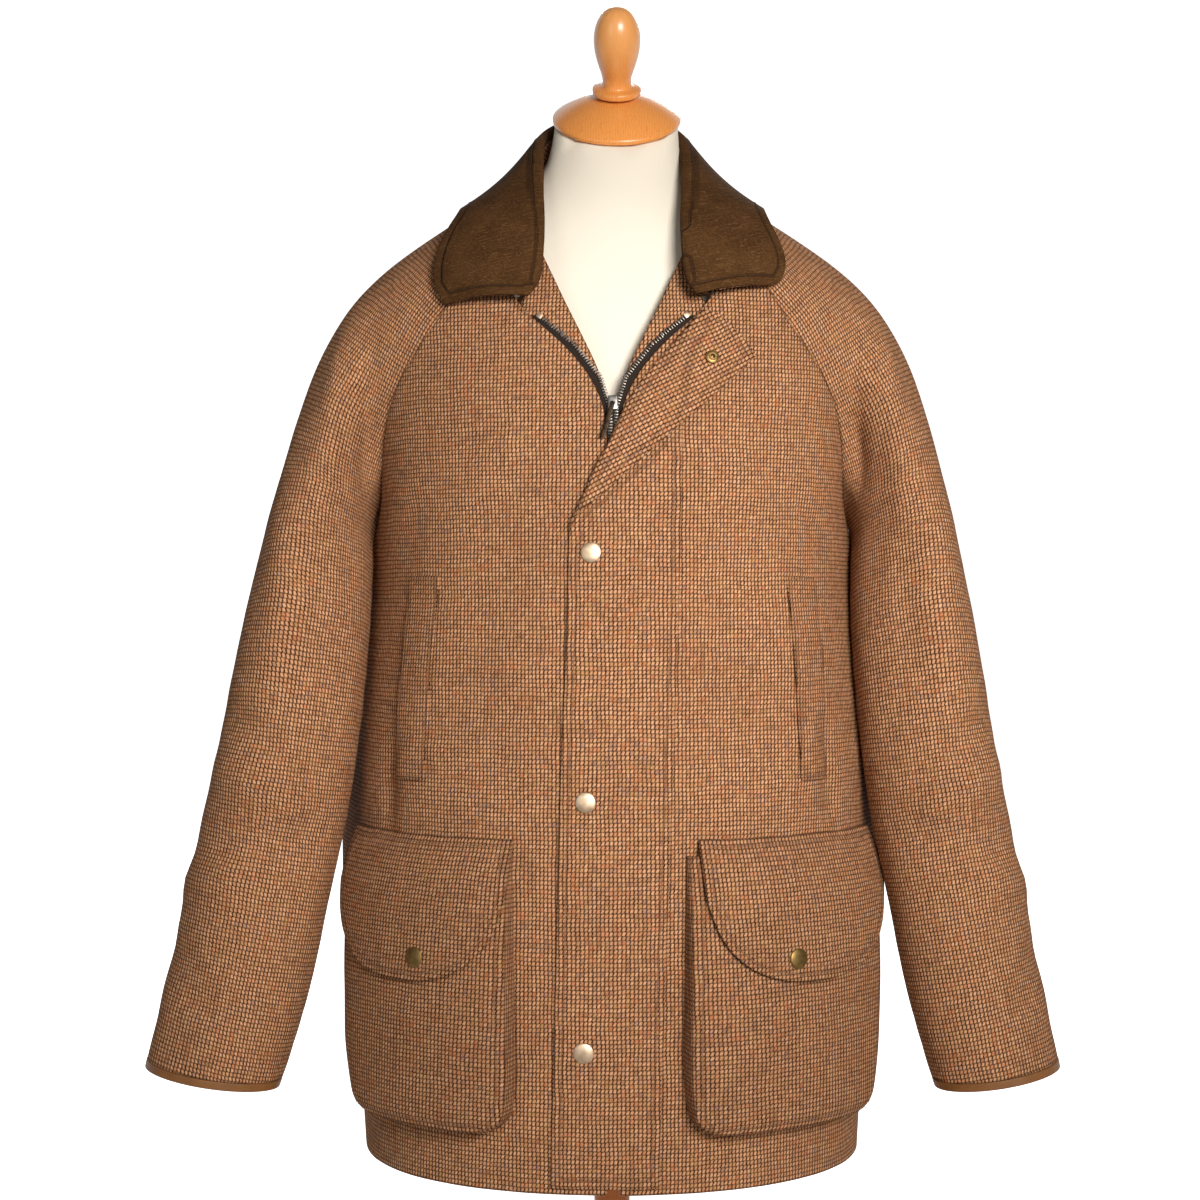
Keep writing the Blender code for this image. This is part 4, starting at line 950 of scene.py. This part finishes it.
def zip_teeth(side):
    """One row of teeth along a tape's edge, and the stop at its top."""
    sign = 1 if side == "left" else -1
    heights = np.linspace(ZIP_EDGE["height"][0], ZIP_EDGE["height"][-1], 900)
    xs = np.interp(heights, ZIP_EDGE["height"], ZIP_EDGE["x"])
    run = np.concatenate([[0], np.cumsum(np.hypot(np.diff(heights), np.diff(xs)))])
    teeth, stop = bmesh.new(), bmesh.new()
    start = 0 if side == "left" else TOOTH_PITCH / 2
    for mark in np.arange(start, run[-1], TOOTH_PITCH):
        here = np.interp(mark, run, heights), np.interp(mark, run, xs)
        ahead = np.interp(mark + 0.002, run, heights), np.interp(mark + 0.002, run, xs)
        tries = [tape_place(side, sign * (here[1] + aside), here[0]) for aside in TOOTH_ASIDE]
        place, out = next((hit for hit in tries if hit[0] is not None), (None, None))
        if place is None:
            continue
        along_tape = Vector((sign * (ahead[1] - here[1]), 0, ahead[0] - here[0]))
        if along_tape.length > 1e-6:
            along_tape = along_tape - out * along_tape.dot(out)
        else:
            along_tape = Vector((0, 0, 1))
        add_block(teeth, place + out * 0.0004, along_tape, out, TOOTH_SIZE, 0.0003)
        last = place, along_tape, out
    place, along_tape, out = last
    place = place + along_tape.normalized() * 0.004 + out * 0.0006
    add_block(stop, place, along_tape, out, STOP_SIZE, 0.0004)
    for name, bm, material, slot in (
        (f"zip_teeth_{side}", teeth, NICKEL, "zip_metal"),
        (f"zip_stop_{side}", stop, BRASS, "brass"),
    ):
        mesh = bpy.data.meshes.new(name)
        bm.to_mesh(mesh)
        bm.free()
        show(name, mesh, material)


zip_teeth("left")
zip_teeth("right")

# Stage and light


def make_stage():
    """A pale floor, and a bright sweep behind the part."""
    floor_look = Look("floor_look", roughness=0.9)
    grain = floor_look.speckle(floor_look.node("ShaderNodeTexCoord", output=3), 3, 2)
    floor_look.colour(floor_look.mix(grain, linear(236, 236, 234), linear(244, 244, 243)))
    bm = bmesh.new()
    bmesh.ops.create_circle(bm, cap_ends=True, segments=64, radius=12)
    mesh = bpy.data.meshes.new("floor")
    bm.to_mesh(mesh)
    bm.free()
    mesh.materials.append(floor_look.material)
    floor = bpy.data.objects.new("floor", mesh)
    sweep_look = Look("sweep_look", roughness=0.9)
    sweep_look.colour(linear(250, 250, 250))
    sweep_look.shader.inputs["Emission Color"].default_value = (1, 1, 1, 1)
    sweep_look.shader.inputs["Emission Strength"].default_value = 1.0
    bm = bmesh.new()
    start = bm.verts.new((-9, 0.22, 0.0005))
    end = bm.verts.new((9, 0.22, 0.0005))
    front = [bm.edges.new((start, end))]
    for step in ((0, 3.0, 0), (0, 0.5, 0.1), (0, 0.35, 0.35), (0, 0.1, 0.5), (0, 0, 6)):
        grown = bmesh.ops.extrude_edge_only(bm, edges=front)["geom"]
        front = [item for item in grown if isinstance(item, bmesh.types.BMEdge)]
        moved = [item for item in grown if isinstance(item, bmesh.types.BMVert)]
        bmesh.ops.translate(bm, vec=step, verts=moved)
    mesh = bpy.data.meshes.new("sweep")
    bm.to_mesh(mesh)
    bm.free()
    mesh.shade_smooth()
    mesh.materials.append(sweep_look.material)
    sweep = bpy.data.objects.new("sweep", mesh)
    sweep.visible_diffuse = False
    for piece in (floor, sweep):
        bpy.context.scene.collection.objects.link(piece)


def make_light(name, place, aim, size, watts, spread=180):
    data = bpy.data.lights.new(name, "AREA")
    data.shape = "RECTANGLE"
    data.size, data.size_y = size
    data.energy = watts
    data.spread = math.radians(spread)
    light = bpy.data.objects.new(name, data)
    light.location = place
    light.rotation_euler = (Vector(aim) - Vector(place)).to_track_quat("-Z", "Y").to_euler()
    bpy.context.scene.collection.objects.link(light)


def make_world():
    world = bpy.data.worlds.new("studio")
    bpy.context.scene.world = world
    world.use_nodes = True
    sky = world.node_tree.nodes["Background"]
    sky.inputs["Color"].default_value = (1, 1, 1, 1)
    sky.inputs["Strength"].default_value = 0.11


make_stage()
make_world()
make_light("key", (0.65, -1.9, 1.02), (0, 0, 0.56), (0.8, 0.6), 7.2, 60)
make_light("back", (0.3, 2.6, 2.3), (0, 0, 0.6), (1.2, 0.8), 48)
make_light("fill", (-1.3, -2.1, 0.9), (0, 0, 0.60), (1.0, 1.2), 8)
